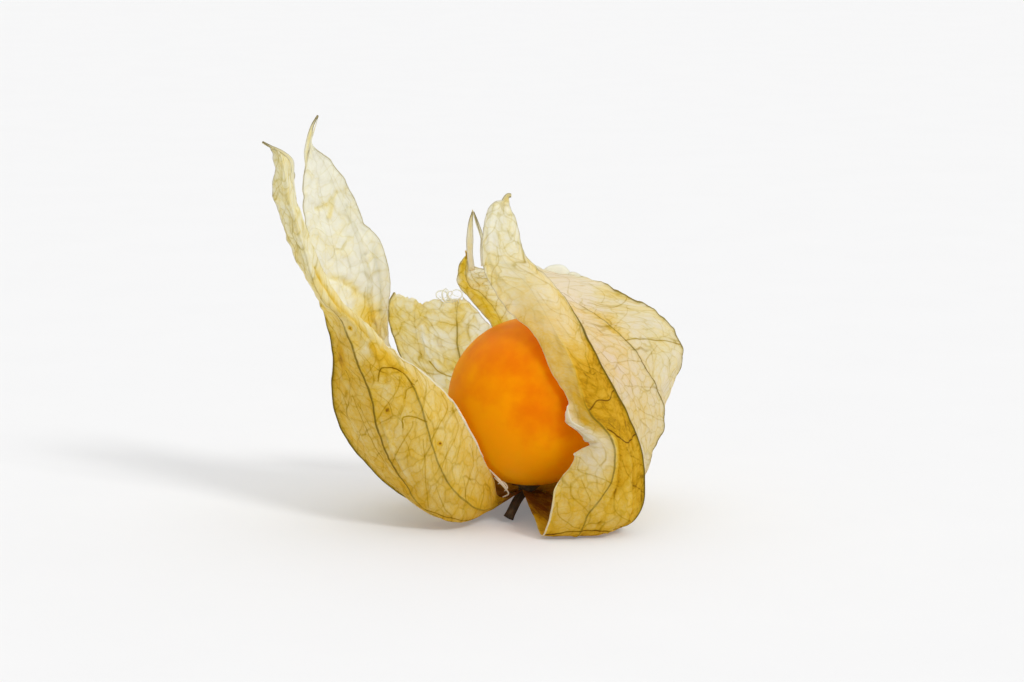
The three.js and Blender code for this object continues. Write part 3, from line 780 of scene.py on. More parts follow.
def husk_finish(name, thinness):
    """Dry husk: nets of veins over a skin whose colour follows its tone. It lets light through by
    about thinness."""
    f = Finish(bpy.data.materials.new(name))
    flat = f.attribute("sheet", out="Vector")

    def swayed(size, amount):
        """Places on the sheet, shifted so that the cells drawn with them are irregular."""
        drift = f.noise(flat, 1 / size, 1.0, out="Color")
        drift = f.node("ShaderNodeVectorMath", {"operation": "SCALE"}, drift, Scale=amount)
        return f.node("ShaderNodeVectorMath", {"operation": "ADD"}, flat, drift)

    wide = f.node("ShaderNodeVectorMath", {"operation": "MULTIPLY"}, swayed(3.4, 3.4), (1.0, 0.70, 1.0))
    close = swayed(1.1, 0.9)

    tone = f.attribute("tone")
    netted = f.attribute("net")
    uneven = f.noise(flat, 0.9, 2.0)
    power = f.attribute("rib_power")
    rib = f.between(f.attribute("rib") + (uneven - 0.5) * 0.10, 0.07 + power * 0.07, 0.03) * power
    rib = rib * (0.65 + f.between(uneven, 0.25, 0.5) * 0.35)
    vein = f.between(f.node("ShaderNodeMath", {"operation": "ABSOLUTE"}, f.attribute("vein")),
                     0.11, 0.02) * f.attribute("vein_power")
    rim = f.between(f.attribute("edge"), 0.20, 0.05)
    branch = f.net(wide, BRANCH_CELL, 0.14) * f.between(f.noise(flat, 0.30, 1.0), 0.30, 0.70) * netted
    net = f.net(close, NET_CELL, 0.12) * f.between(f.noise(flat, 0.50, 1.0), 0.15, 0.60) * netted
    mesh = f.net(close, MESH_CELL, 0.075) * netted
    patch = f.noise(flat, 0.36, 3.0)
    grain = f.noise(flat, 3.4, 4.0, 0.62)
    cell_tone = f.cells(close, NET_CELL, "F1", out="Color")
    pillow = f.cells(close, NET_CELL) * (0.4 + netted * 0.6)

    shade = tone + (patch - 0.5) * (0.58 - tone * 0.44) + (grain - 0.5) * 0.32
    shade = shade + (cell_tone - 0.5) * (0.16 - tone * 0.10) + vein * 0.20 + branch * 0.08
    # pillow * 0.18 makes each cell paler towards its middle: painted glow of light through the membrane
    # between the veins
    shade = (shade + (uneven - 0.5) * 0.16 + 0.02 - pillow * 0.18 - rim * 0.18).clip()
    skin = f.ramp(shade, *HUSK_TONES)
    blush = f.between(f.noise(flat, 0.7, 2.0), 0.5, 0.75)
    skin = f.mix(blush * 0.18, skin, colour(1.0, 0.93, 0.80), "MULTIPLY")
    skin = f.mix(mesh * 0.45, skin, colour(0.82, 0.73, 0.32), "MULTIPLY")
    skin = f.mix(net * 0.56, skin, colour(0.70, 0.62, 0.12), "MULTIPLY")
    skin = f.mix((branch * 0.54 + vein).clip(), skin, colour(0.44, 0.37, 0.05), "MULTIPLY")
    skin = f.mix((rib * 0.90).clip() * 0.94, skin, colour(0.175, 0.128, 0.016))
    lines = (rib + vein * 0.6 + branch * 0.4 + net * 0.22).clip()
    relief = lines * 0.5 + mesh * 0.14 + grain * 0.5 + uneven * 0.6 + pillow * 0.4
    bump = f.bump(relief, 0.6, 0.00012)
    paper = f.node("ShaderNodeBsdfPrincipled", {}, Base_Color=skin, Roughness=0.55 + grain * 0.15,
                   Normal=bump, Specular_IOR_Level=0.12,
                   Specular_Tint=colour(1.0, 0.85, 0.5))
    pale = f.node("ShaderNodeBsdfTranslucent", {}, colour(0.985, 0.980, 0.900), bump)
    gold = f.node("ShaderNodeBsdfTranslucent", {}, colour(0.930, 0.740, 0.090), bump)
    brown = f.node("ShaderNodeBsdfTranslucent", {}, colour(0.300, 0.150, 0.015), bump)
    olive = f.node("ShaderNodeBsdfTranslucent", {}, colour(0.480, 0.380, 0.030), bump)
    glow = f.blend(f.between(shade, 0.02, 0.66), pale, gold)
    glow = f.blend(f.between(shade, 0.68, 0.98), glow, brown)
    glow = f.blend((lines * 0.75).clip(), glow, olive)
    share = (thinness - shade * 0.16 - lines * 0.12).clip()
    return f.finish(f.blend(share, paper, glow))


def berry_finish():
    f = Finish(bpy.data.materials.new("berry_skin"))
    place = f.node("ShaderNodeTexCoord", {}, out="Object")
    cloud = f.noise(place, 130.0, 2.0)
    mottle = f.noise(place, 700.0, 3.0)
    fleck = f.node("ShaderNodeTexVoronoi", {"feature": "F1"}, place, Scale=1400.0)
    height = f.node("ShaderNodeSeparateXYZ", {}, place, out=2)
    across = f.node("ShaderNodeSeparateXYZ", {}, place, out=0)
    # the height and across terms paint light and shade: brighter low and to the left, darker high and to
    # the right, over noise blotches
    blotches_and_painted_shading = cloud * 0.75 + mottle * 0.25 + (BERRY_HEIGHT * MM - height) * 20.0 - across * 12.0
    skin = f.ramp(blotches_and_painted_shading, (0.30, (0.80, 0.205, 0.001)), (0.50, (0.92, 0.335, 0.001)),
                  (0.72, (1.00, 0.335, 0.001)))          # darker and redder towards the top and the right, brighter towards the bottom and the left: painted shade and painted light
    bump = f.bump(mottle * 0.5 + fleck * 0.25, 0.08, 0.0002)
    return f.finish(f.node(
        "ShaderNodeBsdfPrincipled", {}, Base_Color=skin, Roughness=0.42 + mottle * 0.12, Normal=bump,
        Subsurface_Weight=0.90, Subsurface_Radius=(1.0, 0.40, 0.05), Subsurface_Scale=0.0065,
        Specular_IOR_Level=0.10, Specular_Tint=colour(1.0, 0.5, 0.1)))


def stalk_finish():
    f = Finish(bpy.data.materials.new("stalk"))
    place = f.node("ShaderNodeTexCoord", {}, out="Object")
    streak = f.noise(place, 1800.0, 4.0)
    patch = f.noise(place, 600.0, 2.0)
    bark = f.ramp(streak * 0.6 + patch * 0.4, (0.3, (0.022, 0.013, 0.006)), (0.5, (0.065, 0.036, 0.012)),
                  (0.75, (0.16, 0.100, 0.035)))
    return f.finish(f.node("ShaderNodeBsdfPrincipled", {}, Base_Color=bark, Roughness=0.7 + patch * 0.2,
                           Normal=f.bump(streak, 0.7, 0.0001)))


def floor_finish():
    f = Finish(bpy.data.materials.new("pale_floor"))
    place = f.node("ShaderNodeTexCoord", {}, out="Object")
    grain = f.noise(place, 60.0, 3.0)
    tone = f.ramp(grain, (0.3, (0.805, 0.805, 0.808)), (0.7, (0.815, 0.815, 0.818)))
    lit = f.node("ShaderNodeBsdfPrincipled", {}, Base_Color=tone, Roughness=0.8,
                 Specular_IOR_Level=0.1)
    white = f.node("ShaderNodeEmission", {}, colour(1, 1, 1), 0.91)
    return f.finish(f.blend(f.node("ShaderNodeLightPath", {}, out="Is Camera Ray") * 0.2, lit, white))


# ---------------------------------------------------------------------------------------------
# The pieces
# ---------------------------------------------------------------------------------------------
ochre = husk_finish("husk_ochre", 0.66)
straw = husk_finish("husk_straw", 0.68)
pale = husk_finish("husk_pale", 0.75)
sheer = husk_finish("husk_sheer", 0.92)


def make_left_front():
    sheet = Sheet(
        LEFT_FRONT, seed=1, free=(1.0, 8.0), rag=(0.05, 0), curl=(0.05, 0), tip=(0, 12.2, 12.9, 0.22),
        tone=[(0, ((0, 0.9), (3, 0.9))), (1.5, ((0, 0.62), (3, 0.6))), (2.5, ((0, 0.50), (3, 0.56))),
              (5, ((0, 0.42), (1, 0.46), (2, 0.48), (2.6, 0.47), (3, 0.50))),
              (6, ((0, 0.34), (0.6, 0.40), (1, 0.56), (2, 0.54), (2.6, 0.54), (3, 0.56))),
              (7, ((0, 0.28), (0.6, 0.36), (1, 0.62), (2, 0.50), (3, 0.60))),
              (8, ((0, 0.20), (0.7, 0.28), (1, 0.44), (2, 0.32), (3, 0.44))),
              (9, ((0, 0.22), (1, 0.28), (3, 0.34))), (10, ((0, 0.16), (2, 0.14), (3, 0.22))),
              (11.5, ((0, 0.16), (3, 0.12))), (13, ((0, 0.4), (3, 0.4)))],
        ribs={0: [(0, 0.0), (8.6, 0.0), (9.6, 0.7), (12, 0.8)],
              1: [(0, 0.3), (2, 0.8), (5.9, 0.9), (6.5, 0.0)],
              2: [(0, 0.2), (2, 0.3), (3.4, 0.9), (4.6, 1.6), (6.6, 1.6), (8, 0.9), (9, 0.4), (12, 0.3)],
              3: [(0, 1.0), (2, 1.6), (3, 1.9), (7, 1.9), (8, 1.2), (8.6, 0.5), (12, 0.7)]},
        cuts=([(0, 0), (0.7, 0.5), (1.5, 0.7), (2.2, 0.2), (3, 0)], ()),
        folds=[([(0.6, 10.6), (0.55, 9.6), (0.5, 8.8), (0.5, 8.0), (0.6, 7.4)], 0.45, 0.42, 0.20),
               ([(0.2, 9.8), (0.22, 9.2), (0.24, 8.6), (0.3, 7.9)], 0.10, 0.14, 0.50),
               ([(1.0, 9.6), (0.95, 9.0), (0.95, 8.3), (1.1, 7.6)], -0.15, 0.18, 0.52),
               ([(1.3, 7.4), (1.5, 6.6), (1.9, 6.3)], 0.25, 0.30, 0.68),
               ([(1.88, 5.2), (1.85, 4.6), (1.8, 3.8)], 0.20, 0.16, 0.34),
               ([(0.9, 6.4), (1.3, 6.7), (1.6, 6.2)], -0.22, 0.25, 0.72),
               ([(2.5, 5.6), (2.4, 4.6), (2.5, 3.6)], 0.22, 0.30, None)],
        veins=[(1.0, [(1.0, 6.0), (1.1, 6.6), (1.45, 6.7), (1.7, 6.3)]),
               (1.0, [(2.7, 3.6), (2.25, 3.25), (1.98, 2.9), (1.85, 2.5), (1.75, 2.0), (1.85, 1.5),
                      (2.1, 1.1)]),
               (0.7, [(2.5, 6.7), (2.45, 6.1), (2.7, 5.3)]),
               (0.6, [(2.45, 6.1), (2.35, 5.5), (2.25, 4.8), (2.2, 4.0)]),
               (0.8, [(1.0, 4.9), (1.2, 5.1), (1.42, 5.15), (1.48, 4.9)]),
               (0.7, [(1.0, 5.9), (1.2, 5.85), (1.3, 5.65)]),
               (0.7, [(1.0, 5.9), (0.85, 6.0), (0.7, 6.05)])],
        sides=[(3, 2, 2.6, 7.4, 0.9, 0.40), (2, 1, 2.8, 7.0, 1.1, 0.45), (1, 0, 2.4, 6.2, 1.1, 0.35),
               (3, 2, 9, 12, 0.6, 0.35)],
        spots=[(-15.0, -7.5, 13.1, 0.22, 1.2), (-18.9, -4.4, 21.2, 0.20, 1.2),
               (-9.6, -8.6, 9.8, 0.18, 1.2), (-20.1, -2.4, 17.7, 1.3, 0.84),
               (-17.4, -5.8, 19.2, 1.1, 0.26), (-15.2, -6.6, 18.0, 0.8, 0.70),
               (-15.4, -7.6, 15.0, 1.0, 0.34), (-17.6, -5.8, 14.6, 0.9, 0.40),
               # the last three spots darken the base beside the stalk: painted shade under the berry
               (-1.9, -1.6, 2.6, 1.9, 1.0), (-3.4, -2.6, 2.2, 1.3, 0.90), (-4.8, -3.8, 1.6, 1.6, 0.70)],
        plain=[(-22.5, -1.8, 25.5, 1.6), (-18.5, -3.4, 21.3, 1.3), (-15.0, -4.6, 18.6, 0.9)])
    tip = ribbon([(-24.7, -1.6, 34.6), (-25.0, -1.5, 36.6), (-25.1, -1.5, 38.4), (-26.0, -1.6, 39.3),
                  (-27.2, -1.6, 39.9), (-28.1, -1.6, 40.4)], [0.06, 0.24, 0.44, 0.34, 0.24, 0.14],
                 (0.3, -1.0, 0.4), 0.4, 0.28, 0.08, power=(0, 0.2, 0.5, 0.7, 0.9, 1.3))
    # a raised band along the free margin; its bleached tone is a painted highlight along the edge
    rim = sheet.trim([(0, 9.2), (0, 8.0), (0, 7.0), (0, 6.0), (0, 5.0), (0, 4.0), (0, 3.0)], 0.34, -0.25)
    scraps = [ribbon(route, widths, (0.3, -1.0, 0.4), 0.3, -0.2) for route, widths in (
        ([(-4.5, -5.6, 6.4), (-3.4, -5.5, 5.2), (-2.7, -4.7, 4.1), (-2.6, -3.4, 3.5)],
         [0.1, 0.22, 0.2, 0.12]),
        ([(-4.0, -4.9, 5.4), (-3.0, -4.9, 4.4), (-2.5, -4.0, 3.4), (-3.1, -3.4, 2.9)],
         [0.1, 0.17, 0.15, 0.1]),
        ([(-3.6, -4.6, 4.6), (-3.1, -4.9, 4.9), (-2.6, -4.8, 4.3), (-2.9, -4.4, 3.8)],
         [0.08, 0.14, 0.14, 0.08]))]
    build("husk_left_front", "sepal_left_front", [sheet.shell(), tip, rim] + scraps, ochre)


def make_left_back():
    sheet = Sheet(
        LEFT_BACK, seed=2, tone=0.05, free=(8.0, 3.0), rag=(0, 0.05), tip=(0, 11.9, 12.45, 0.1),
        crumple=0.42, wrinkle=0.15, net=0.5,
        ribs={0: [(0, 1.0), (2, 1.6), (7, 1.8), (8, 1.1), (8.6, 0.4), (13, 0.7)], 1: 0.18, 2: 0.14,
              3: [(0, 0.3), (7, 0.35), (9, 0.6), (13, 0.6)]},
        cuts=((), [(0, 0), (9.7, 0), (10.0, 0.5), (10.15, 0.9), (10.6, 0.4), (11, 0.1), (13, 0)]),
        folds=[([(0.4, 9.3), (1.1, 9.1), (1.5, 8.8), (1.9, 8.5)], 0.35, 0.40, 0.26),
               ([(0.6, 10.75), (1.2, 10.75), (1.9, 10.85)], 0.40, 0.30, 0.22),
               ([(1.95, 10.9), (1.6, 10.75), (1.05, 10.5)], -0.25, 0.22, 0.26),
               ([(2.6, 7.4), (2.5, 8.4), (2.5, 9.4)], 0.35, 0.25, None),
               ([(2.2, 7.2), (2.1, 8.4), (2.2, 9.6), (2.3, 10.6)], -0.35, 0.30, None)],
        sides=[(0, 1, 2.0, 7.5, 0.9, 0.45), (1, 2, 2.0, 8.0, 0.9, 0.35), (3, 2, 2.0, 10.0, 0.9, 0.2)],
        # the spot of tone 1.0 at the base is painted shade under the berry, over the calyx base's own
        # brown
        spots=[(-18.0, 7.0, 19.0, 2.6, 0.42), (-17.7, 6.8, 20.8, 1.3, 0.50),
               (-16.0, 8.0, 8.0, 6.0, 0.38), (-21.5, 4.0, 35.0, 4.0, 0.03), (-1.5, 3.0, 1.5, 4.2, 1.0),
               (-22.6, 3.1, 41.6, 1.8, 0.40)])
    tip = ribbon([(-23.9, 2.5, 37.2), (-23.8, 2.7, 38.8), (-23.5, 2.9, 40.4), (-23.2, 3.0, 41.6),
                  (-22.6, 3.1, 42.7)], [0.10, 0.56, 0.50, 0.30, 0.18], (0.3, -1.0, 0.0), 0.4,
                 0.24, 0.08, power=(0.1, 0.3, 0.5, 0.8, 1.3))
    build("husk_left_back", "sepal_left_back", [sheet.shell(), tip], pale)


def make_back():
    wall = Sheet(
        BACK, seed=3, tone=0.27, free=(3.0, 6.0), rag_top=0.7, rag=(0.05, 0.15), crumple=0.26, net=0.85,
        ribs={0: [(0, 0.3), (3, 0.3), (5, 1.6), (11, 1.4)], 1: 0.2,
              2: [(3, 0.3), (5, 1.0), (8.2, 1.0), (9, 0.4)], 3: 0.3},
        top=[(0, 0.0), (0.5, 0.2), (1.5, 0.5), (2.4, 0.3), (3, 0)],
        folds=[([(1.2, 8.0), (1.2, 6.6), (1.4, 5.6)], 0.25, 0.25, 0.18),
               ([(1.5, 7.4), (1.6, 6.4), (1.7, 5.6)], -0.20, 0.22, None)],
        veins=[(0.9, [(1.2, 5.9), (1.35, 5.45), (1.6, 5.35), (2.0, 5.6)])],
        sides=[(2, 1, 3.0, 9.5, 1.0, 0.26), (1, 0, 3.0, 9.5, 1.0, 0.24), (2, 3, 3.0, 9.5, 0.9, 0.10)],
        # the spot of tone 1.0 at the base is painted shade under the berry, over the calyx base's own
        # brown
        spots=[(-5.8, 11.8, 18.5, 1.6, 0.10), (-0.8, 4.0, 1.5, 5.2, 1.0)])
    strip = Sheet(
        STRIP, seed=6, free=(6.0, 8.0), crumple=0.15,
        tone=[(0, ((0, 0.5), (3, 0.4))), (5, ((0, 0.34), (1.3, 0.32), (2, 0.24), (3, 0.22))),
              (8, ((0, 0.40), (0.9, 0.40), (1.2, 0.24), (3, 0.22))),
              (11, ((0, 0.36), (0.8, 0.34), (1.2, 0.22), (3, 0.22))), (12, ((0, 0.6), (3, 0.5)))],
        ribs={0: 0.6, 1: [(0, 0.3), (7, 0.3), (9, 0.7), (12, 0.6)], 3: 0.5},
        folds=[([(0.5, 6.0), (0.5, 8.0), (0.5, 10.0), (0.5, 12.0)], 0.45, 0.45, 0.48)],
        sides=[(3, 2, 3.0, 10.0, 0.7, 0.30), (1, 2, 6.0, 11.0, 0.6, 0.35)],
        # the spot of tone 1.0 at the base is painted shade under the berry, over the calyx base's own
        # brown
        spots=[(-3.4, 11.2, 18.6, 1.2, 0.70), (0.2, 4.0, 1.5, 5.2, 1.0), (-7.1, 5.4, 27.7, 0.8, 0.8)])
    build("husk_back", "sepal_back", [wall.shell(), strip.shell()] + curls(wall), sheer)


def curls(wall):
    """Fine curls that stand on the wall's torn top, each a spiral that tightens."""
    top = wall.grid[-1]
    place = int(len(top) * CURLS_AT)
    made = []
    for turn, start, wide, tall, way in ((0.0, -2, 0.95, 0.72, 1), (2.2, 3, 0.60, 0.80, -1),
                                         (4.1, 7, 1.00, 0.66, 1), (1.0, 12, 0.60, 0.50, -1)):
        root = top[place + start]
        route = [root + (-0.2, 0.0, -0.3)]
        for step in range(CURL_STEPS):
            angle = way * (turn + step * 0.85)
            size = 1.0 - 0.06 * step
            route.append(root + (-0.7 + 0.1 * step * way + size * wide * math.cos(angle),
                                 0.15 * step - 0.6, 0.55 + size * tall * math.sin(angle)))
        made.append(ribbon(route, [0.14, 0.17, 0.20, 0.16, 0.18, 0.12, 0.14, 0.09, 0.07, 0.05],
                           (0.3, -1.0, 0.2), 0.0, -0.1, thickness=0.03))
    return made


def make_right_back():
    sheet = Sheet(
        RIGHT_BACK, seed=4, tone=0.21, free=(8.0, 8.0), tip=(2, 11.0, 11.3, 0.6), puff=0.03,
        plain=[(3.0, 1.5, 25.3, 1.6)], crumple=0.24,
        ribs={0: [(0, 0.5), (8, 0.5), (9, 0.2)], 1: 0.3,
              2: [(0, 0.9), (4, 1.2), (5, 1.7), (6, 2.0), (8.4, 1.9), (9.0, 0.4), (11, 0.3)],
              3: [(0, 0.6), (2, 1.2), (4.5, 1.6), (5.5, 1.2), (7.6, 0.9), (9, 0.4), (11, 0.2)],
              4: [(0, 1.0), (2, 1.5), (7, 1.6), (8, 1.0), (8.8, 0.2)]},
        veins=[(0.8, [(3.0, 6.9), (2.7, 6.8), (2.3, 6.55), (2.05, 6.4)]),
               (0.5, [(2.1, 8.2), (2.5, 8.1), (2.8, 8.4)])],
        sides=[(3, 2, 3.4, 6.4, 0.9, 0.35), (3, 2, 7.3, 8.8, 0.8, 0.25), (3, 4, 3.2, 8.6, 0.9, 0.35),
               (2, 1, 3.0, 9.0, 0.8, 0.55), (0, 1, 3.0, 8.6, 0.8, 0.55)],
        # the spot of tone 1.0 at the base is painted shade under the berry, over the calyx base's own
        # brown
        spots=[(8.2, 1.0, 19.8, 1.2, 0.62), (6.6, 0.6, 21.0, 0.9, 0.56), (10.6, 0.4, 3.0, 4.0, 0.36),
               (1.2, 2.5, 1.5, 4.6, 1.0), (3.0, 4.6, 25.5, 2.2, -0.12), (2.9, 0.8, 24.4, 2.2, -0.10),
               (5.2, 3.0, 24.3, 1.8, -0.10), (13.5, 4.0, 14.0, 3.6, 0.14), (13.0, 3.0, 20.0, 2.6, 0.10),
               (-6.2, 2.8, 32.7, 1.2, 0.40)])
    sliver = ribbon([(-6.3, 3.0, 32.6), (-6.5, 3.3, 31.3), (-6.6, 3.8, 29.3), (-6.6, 4.6, 27.6),
                     (-6.4, 5.3, 25.8)], [0.1, 0.50, 0.80, 0.66, 0.7], (0.3, -1.0, 0.0), 0.2,
                    (0.3, 0.22, 0.14, 0.14, 0.2), 0.05, power=(1.2, 0.8, 0.6, 0.5, 0.3))
    prong = ribbon([(-6.2, 2.8, 32.5), (-5.7, 2.6, 31.2), (-5.3, 2.6, 29.8), (-5.3, 2.8, 28.4),
                    (-5.2, 3.2, 26.6)], [0.12, 0.22, 0.30, 0.42, 0.40], (0.3, -1.0, 0.0), 0.4,
                   (0.3, 0.2, 0.1, 0.05, 0.05), 0.05, power=(1.2, 1.0, 0.7, 0.3, 0.2))
    tufts = [ribbon(route, widths, (0.2, -1.0, 0.3), 0.2, tone, power=power)
             for route, widths, tone, power in (
        ([(0.9, 4.9, 25.2), (2.0, 4.8, 25.8), (3.2, 4.8, 25.9), (4.4, 4.9, 24.8)],
         [0.6, 1.2, 1.2, 0.6], -0.1, 0.2),
        ([(3.6, 4.6, 24.9), (4.3, 4.5, 25.4), (5.0, 4.5, 25.2), (5.6, 4.7, 24.4)],
         [0.4, 0.8, 0.7, 0.3], -0.05, 0.3),
        ([(-0.2, 4.7, 25.8), (0.5, 4.6, 26.2), (1.2, 4.6, 25.9)], [0.2, 0.5, 0.2], 0.0, 0.3))]
    build("husk_right_back", "sepal_right_back", [sheet.shell(), sliver, prong] + tufts,
          straw)


def make_right_front():
    sheet = Sheet(
        RIGHT_FRONT, seed=5, free=(8.0, 1.0), rag=(0, 0.06), curl=(0, 0.05), tip=(1, 12.3, 12.9, 0.4),
        net=0.85,
        tone=[(0, ((0, 0.95), (3, 1.0))), (1.4, ((0, 0.7), (3, 0.84))),
              (2, ((0, 0.62), (2, 0.56), (3, 0.66))), (3, ((0, 0.64), (1, 0.60), (2, 0.54), (3, 0.52))),
              (3.6, ((0, 0.66), (0.7, 0.72), (1.2, 0.60), (1.9, 0.60), (2.1, 0.54), (3, 0.54))),
              (5, ((0, 0.70), (0.6, 0.74), (1.2, 0.68), (1.8, 0.70), (2.1, 0.26), (3, 0.34))),
              (5.6, ((0, 0.75), (1.9, 0.78), (2.1, 0.50), (2.4, 0.60), (2.6, 0.30), (3, 0.26))),
              (6.2, ((0, 0.74), (1.92, 0.77), (2.1, 0.62), (2.5, 0.62), (2.7, 0.46), (3, 0.44))),
              (7.0, ((0, 0.72), (1.88, 0.73), (2.06, 0.44), (3, 0.50))),
              (7.5, ((0, 0.52), (1.4, 0.46), (1.9, 0.42), (2.06, 0.38), (3, 0.47))),
              (8.0, ((0, 0.34), (1.3, 0.26), (1.7, 0.30), (3, 0.42))),
              (9, ((0, 0.26), (1.5, 0.20), (3, 0.28))), (10, ((0, 0.16), (3, 0.16))),
              (11, ((0, 0.06), (3, 0.06)))],
        ribs={0: [(0, 1.0), (2, 1.6), (7, 1.9), (8, 1.5), (8.6, 0.7), (9.4, 0.6), (13, 0.7)],
              2: [(0, 0.3), (2, 0.6), (3, 0.9), (5.8, 1.0), (6.5, 0.15), (13, 0.1)],
              3: [(0, 0.2), (6, 0.0), (8, 0.1), (10, 0.5), (13, 0.5)]},
        cuts=((), [(0, 0), (4.4, 0), (4.8, 0.2), (5.02, 0.1), (5.06, 1.7), (5.14, 1.5), (5.45, 0.3),
                   (5.62, -0.9), (5.8, -0.8), (6.0, -0.1), (13, 0)]),
        folds=[([(1.95, 7.8), (2.0, 7.0), (2.05, 6.3)], 0.20, 0.22, None),
               ([(3.0, 5.9), (2.8, 5.6), (2.65, 5.3), (2.45, 5.0)], 0.28, 0.40, 0.12),
               ([(2.6, 12.0), (2.55, 10.5), (2.5, 9.4)], 0.20, 0.25, None),
               ([(1.6, 2.3), (1.7, 3.4), (1.75, 4.4), (1.65, 5.2)], -0.24, 0.16, 0.76),
               ([(1.25, 2.3), (1.3, 3.6), (1.3, 4.8)], 0.20, 0.20, None),
               ([(0.9, 2.5), (0.9, 3.8), (0.95, 5.0)], -0.22, 0.15, 0.78),
               ([(0.5, 2.8), (0.45, 4.0), (0.5, 5.2)], 0.18, 0.18, None)],
        veins=[(1.0, [(0.0, 5.2), (0.7, 5.1), (1.3, 5.1), (1.9, 5.4)]),
               (0.8, [(0.1, 6.2), (0.8, 6.0), (1.4, 6.1), (1.9, 6.0)]),
               (1.1, [(2.95, 2.08), (2.6, 2.18), (2.0, 2.30), (1.6, 2.38), (1.2, 2.44), (0.8, 2.50),
                      (0.4, 2.60)])],
        sides=[(0, 2, 2.6, 4.9, 0.9, 0.30), (0, 2, 6.6, 8.4, 0.7, 0.28), (2, 3, 2.2, 4.8, 0.9, 0.40),
               (0, 2, 8.8, 12.0, 0.8, 0.3), (3, 2, 9.6, 12.0, 0.8, 0.3)],
        # the spots of tone 0.68 to 1.0 near the base darken the foot's V, its own brown and painted
        # shade under the berry; the three at z 0.3 to 0.4 are painted shade along the bottom edge on the
        # floor
        spots=[(6.4, -10.2, 8.6, 1.4, 0.16), (0.4, -4.6, 2.8, 2.0, 0.84), (0.8, -8.0, 1.4, 2.0, 0.68),
               (3.0, -3.5, 1.5, 3.4, 1.0), (0.4, -1.6, 2.8, 2.4, 1.0), (4.8, -9.6, 0.3, 1.2, 0.86),
               (7.2, -9.2, 0.4, 0.9, 0.82), (2.4, -9.8, 0.4, 1.0, 0.86), (7.0, -10.5, 9.6, 1.2, 0.08),
               (-2.5, -1.9, 34.8, 0.7, 0.5)],
        plain=[(-0.5, -5.0, 24.5, 1.8), (1.2, -7.0, 21.5, 2.2), (2.6, -8.6, 18.4, 1.9),
               (3.6, -9.6, 15.4, 1.6), (4.4, -10.2, 12.6, 0.9), (9.0, -9.2, 9.0, 1.4),
               (8.4, -9.4, 12.2, 1.1)])
    tip = ribbon([(-2.9, -2.1, 33.6), (-2.8, -2.0, 34.3), (-2.5, -1.9, 34.8), (-2.2, -1.8, 34.8)],
                 [0.9, 0.6, 0.4, 0.3], (0.3, -1.0, 0.2), 0.7, 0.32, 0.16, power=(0.2, 0.6, 0.9, 1.2))
    rim = sheet.trim([(3, 4.2), (3, 3.4), (3, 2.8), (3, 2.2), (3, 1.7)], 0.15, 0.34)
    lip = sheet.trim([(3.0, 5.95), (2.8, 5.65), (2.6, 5.45)], 0.24, -0.25)
    scrap = sheet.trim([(2.95, 5.6), (2.8, 5.35), (2.62, 5.15)], 0.26, -0.25)
    build("husk_right_front", "sepal_right_front",
          [sheet.shell(), tip, rim, lip, scrap] + sheet.shreds(3, 4.9, 5.9, 0.35, random.Random(7)),
          ochre)


def make_berry():
    """The fruit, a little lumpy, with a scar where it sits on its stalk and a dimple at its top."""
    steps, sides = 100, 160
    tilt = np.linspace(0, math.pi, steps + 1)[:, None]          # up from straight down
    angle = np.linspace(0, 2 * math.pi, sides, endpoint=False)
    way = np.stack([np.sin(tilt) * np.cos(angle), np.sin(tilt) * np.sin(angle),
                    0 * angle - np.cos(tilt)], axis=-1)
    lumps = [[noise.noise(Vector(w) * 1.7 + Vector((3.1, 0, 0))) for w in ring] for ring in way]
    radius = BERRY_RADIUS - BERRY_INSET + BERRY_LUMPS * np.array(lumps)
    for towards, (depth, reach) in ((tilt, BERRY_SCAR), (math.pi - tilt, BERRY_DIMPLE)):
        radius -= depth * hill(towards, reach)
    grid = way * radius[..., None] + (0, 0, BERRY_HEIGHT - LIFT)
    show(ringed("ripe_berry", grid[1:-1], grid[0, 0], grid[-1, 0]), "berry", berry_finish())


def make_stalk():
    """The bent stem with its cut foot, and the flared head that the berry and the husk sit on."""
    route = [(-2.5, -2.2, 0.35), (-2.1, -1.9, 1.1), (-1.6, -1.4, 2.0), (-1.0, -0.7, 2.75),
             (-0.64, -0.29, 3.3), (-0.6, -0.25, 3.8)]
    steps, sides = 60, 40
    at = np.linspace(0, len(route) - 1, steps + 1)
    centre = spline(route, at)
    way = unit(np.gradient(centre, axis=0))
    side = unit(np.cross(way, (1.0, -1.0, 0.0)))
    other = np.cross(way, side)
    angle = np.linspace(0, 2 * math.pi, sides, endpoint=False)
    flare = smooth(0.60, 0.98, at / at[-1])
    ridges = 1 + 0.07 * np.cos(5 * angle) + 0.05 * np.cos(11 * angle + 1)
    radius = (STALK_RADIUS + HEAD_FLARE * flare)[:, None] * ridges
    radius = radius * (1 + CUT_SPREAD * hill(at, 0.35))[:, None]
    ring = side[:, None] * np.cos(angle)[None, :, None] + other[:, None] * np.sin(angle)[None, :, None]
    grid = centre[:, None] + ring * radius[..., None]
    mesh = ringed("dark_stalk", grid, centre[0] - way[0] * 0.08, centre[-1])
    show(mesh, "stalk", stalk_finish())


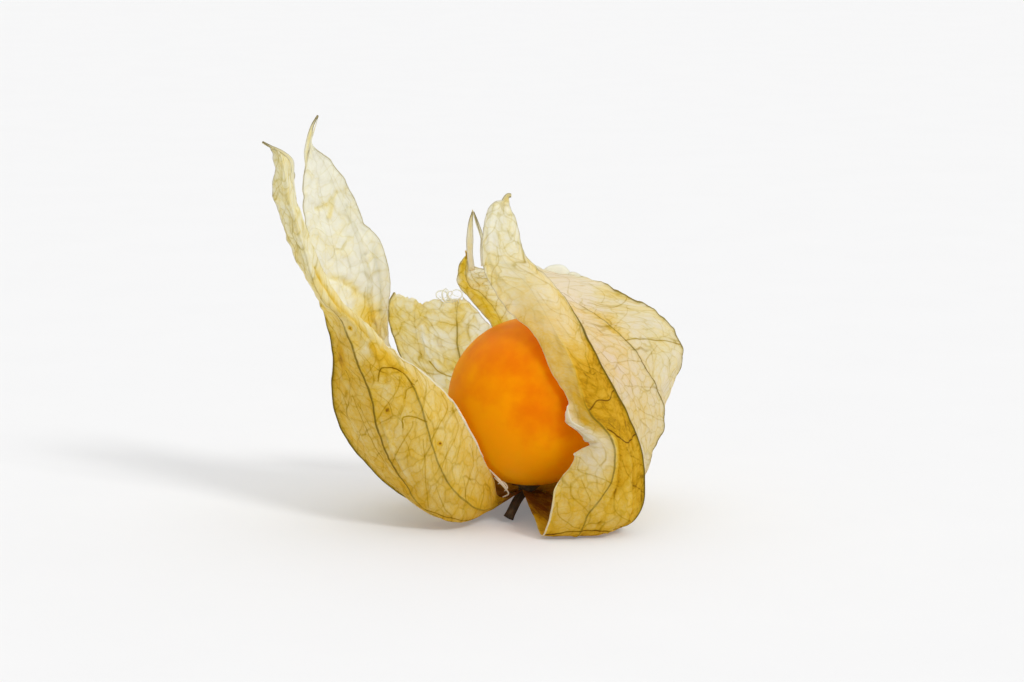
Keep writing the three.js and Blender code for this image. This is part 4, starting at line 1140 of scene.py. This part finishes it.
# ---------------------------------------------------------------------------------------------
# Floor, light and camera
# ---------------------------------------------------------------------------------------------
FLOOR_SIZE = 6.0                    # m
SKY_LIGHT = 0.50                    # strength of the world's light on the fruit
SKY_SEEN = 0.93                     # and its brightness behind it
LAMPS = (                           # name, degrees wide, strength and where it shines from
    ("key", 13, 1.40, (0.55, -0.58, 0.65)),
    ("soft_top", 100, 1.30, (0.15, 0.30, 1.0)),
)
LENS = 100                          # mm
ELEVATION = math.radians(10)        # of the camera above the point it aims at
DISTANCE = 301.3                    # mm between the two
AIM = Vector((-2.12, 0, 19.06))


def make_floor():
    bpy.ops.mesh.primitive_plane_add(size=FLOOR_SIZE, location=(0, 0, 0))
    floor = bpy.context.object
    floor.name = "floor"
    floor.data.materials.append(floor_finish())


def make_light():
    world = bpy.data.worlds.new("studio")
    bpy.context.scene.world = world
    f = Finish(world, "ShaderNodeOutputWorld")
    light, seen = (f.node("ShaderNodeBackground", {}, colour(1, 1, 1), strength)
                   for strength in (SKY_LIGHT, SKY_SEEN))
    f.finish(f.blend(f.node("ShaderNodeLightPath", {}, out="Is Camera Ray"), light, seen))

    for name, angle, energy, direction in LAMPS:
        lamp = bpy.data.lights.new(name, "SUN")
        lamp.angle = math.radians(angle)
        lamp.energy = energy
        sun = bpy.data.objects.new(name, lamp)
        bpy.context.collection.objects.link(sun)
        sun.rotation_euler = Vector(direction).to_track_quat("Z", "Y").to_euler()


def make_camera():
    data = bpy.data.cameras.new("camera")
    data.lens = LENS
    data.sensor_width = 36
    data.clip_start = 0.01
    camera = bpy.data.objects.new("camera", data)
    bpy.context.collection.objects.link(camera)
    bpy.context.scene.camera = camera
    camera.location = put(AIM + DISTANCE * Vector((0, -math.cos(ELEVATION), math.sin(ELEVATION))))
    camera.rotation_euler = (math.radians(90) - ELEVATION, 0, 0)


make_left_front()
make_left_back()
make_back()
make_right_back()
make_right_front()
make_berry()
make_stalk()
make_floor()
make_light()
make_camera()
bpy.context.scene.view_settings.view_transform = "Standard"

bpy.context.view_layer.update()
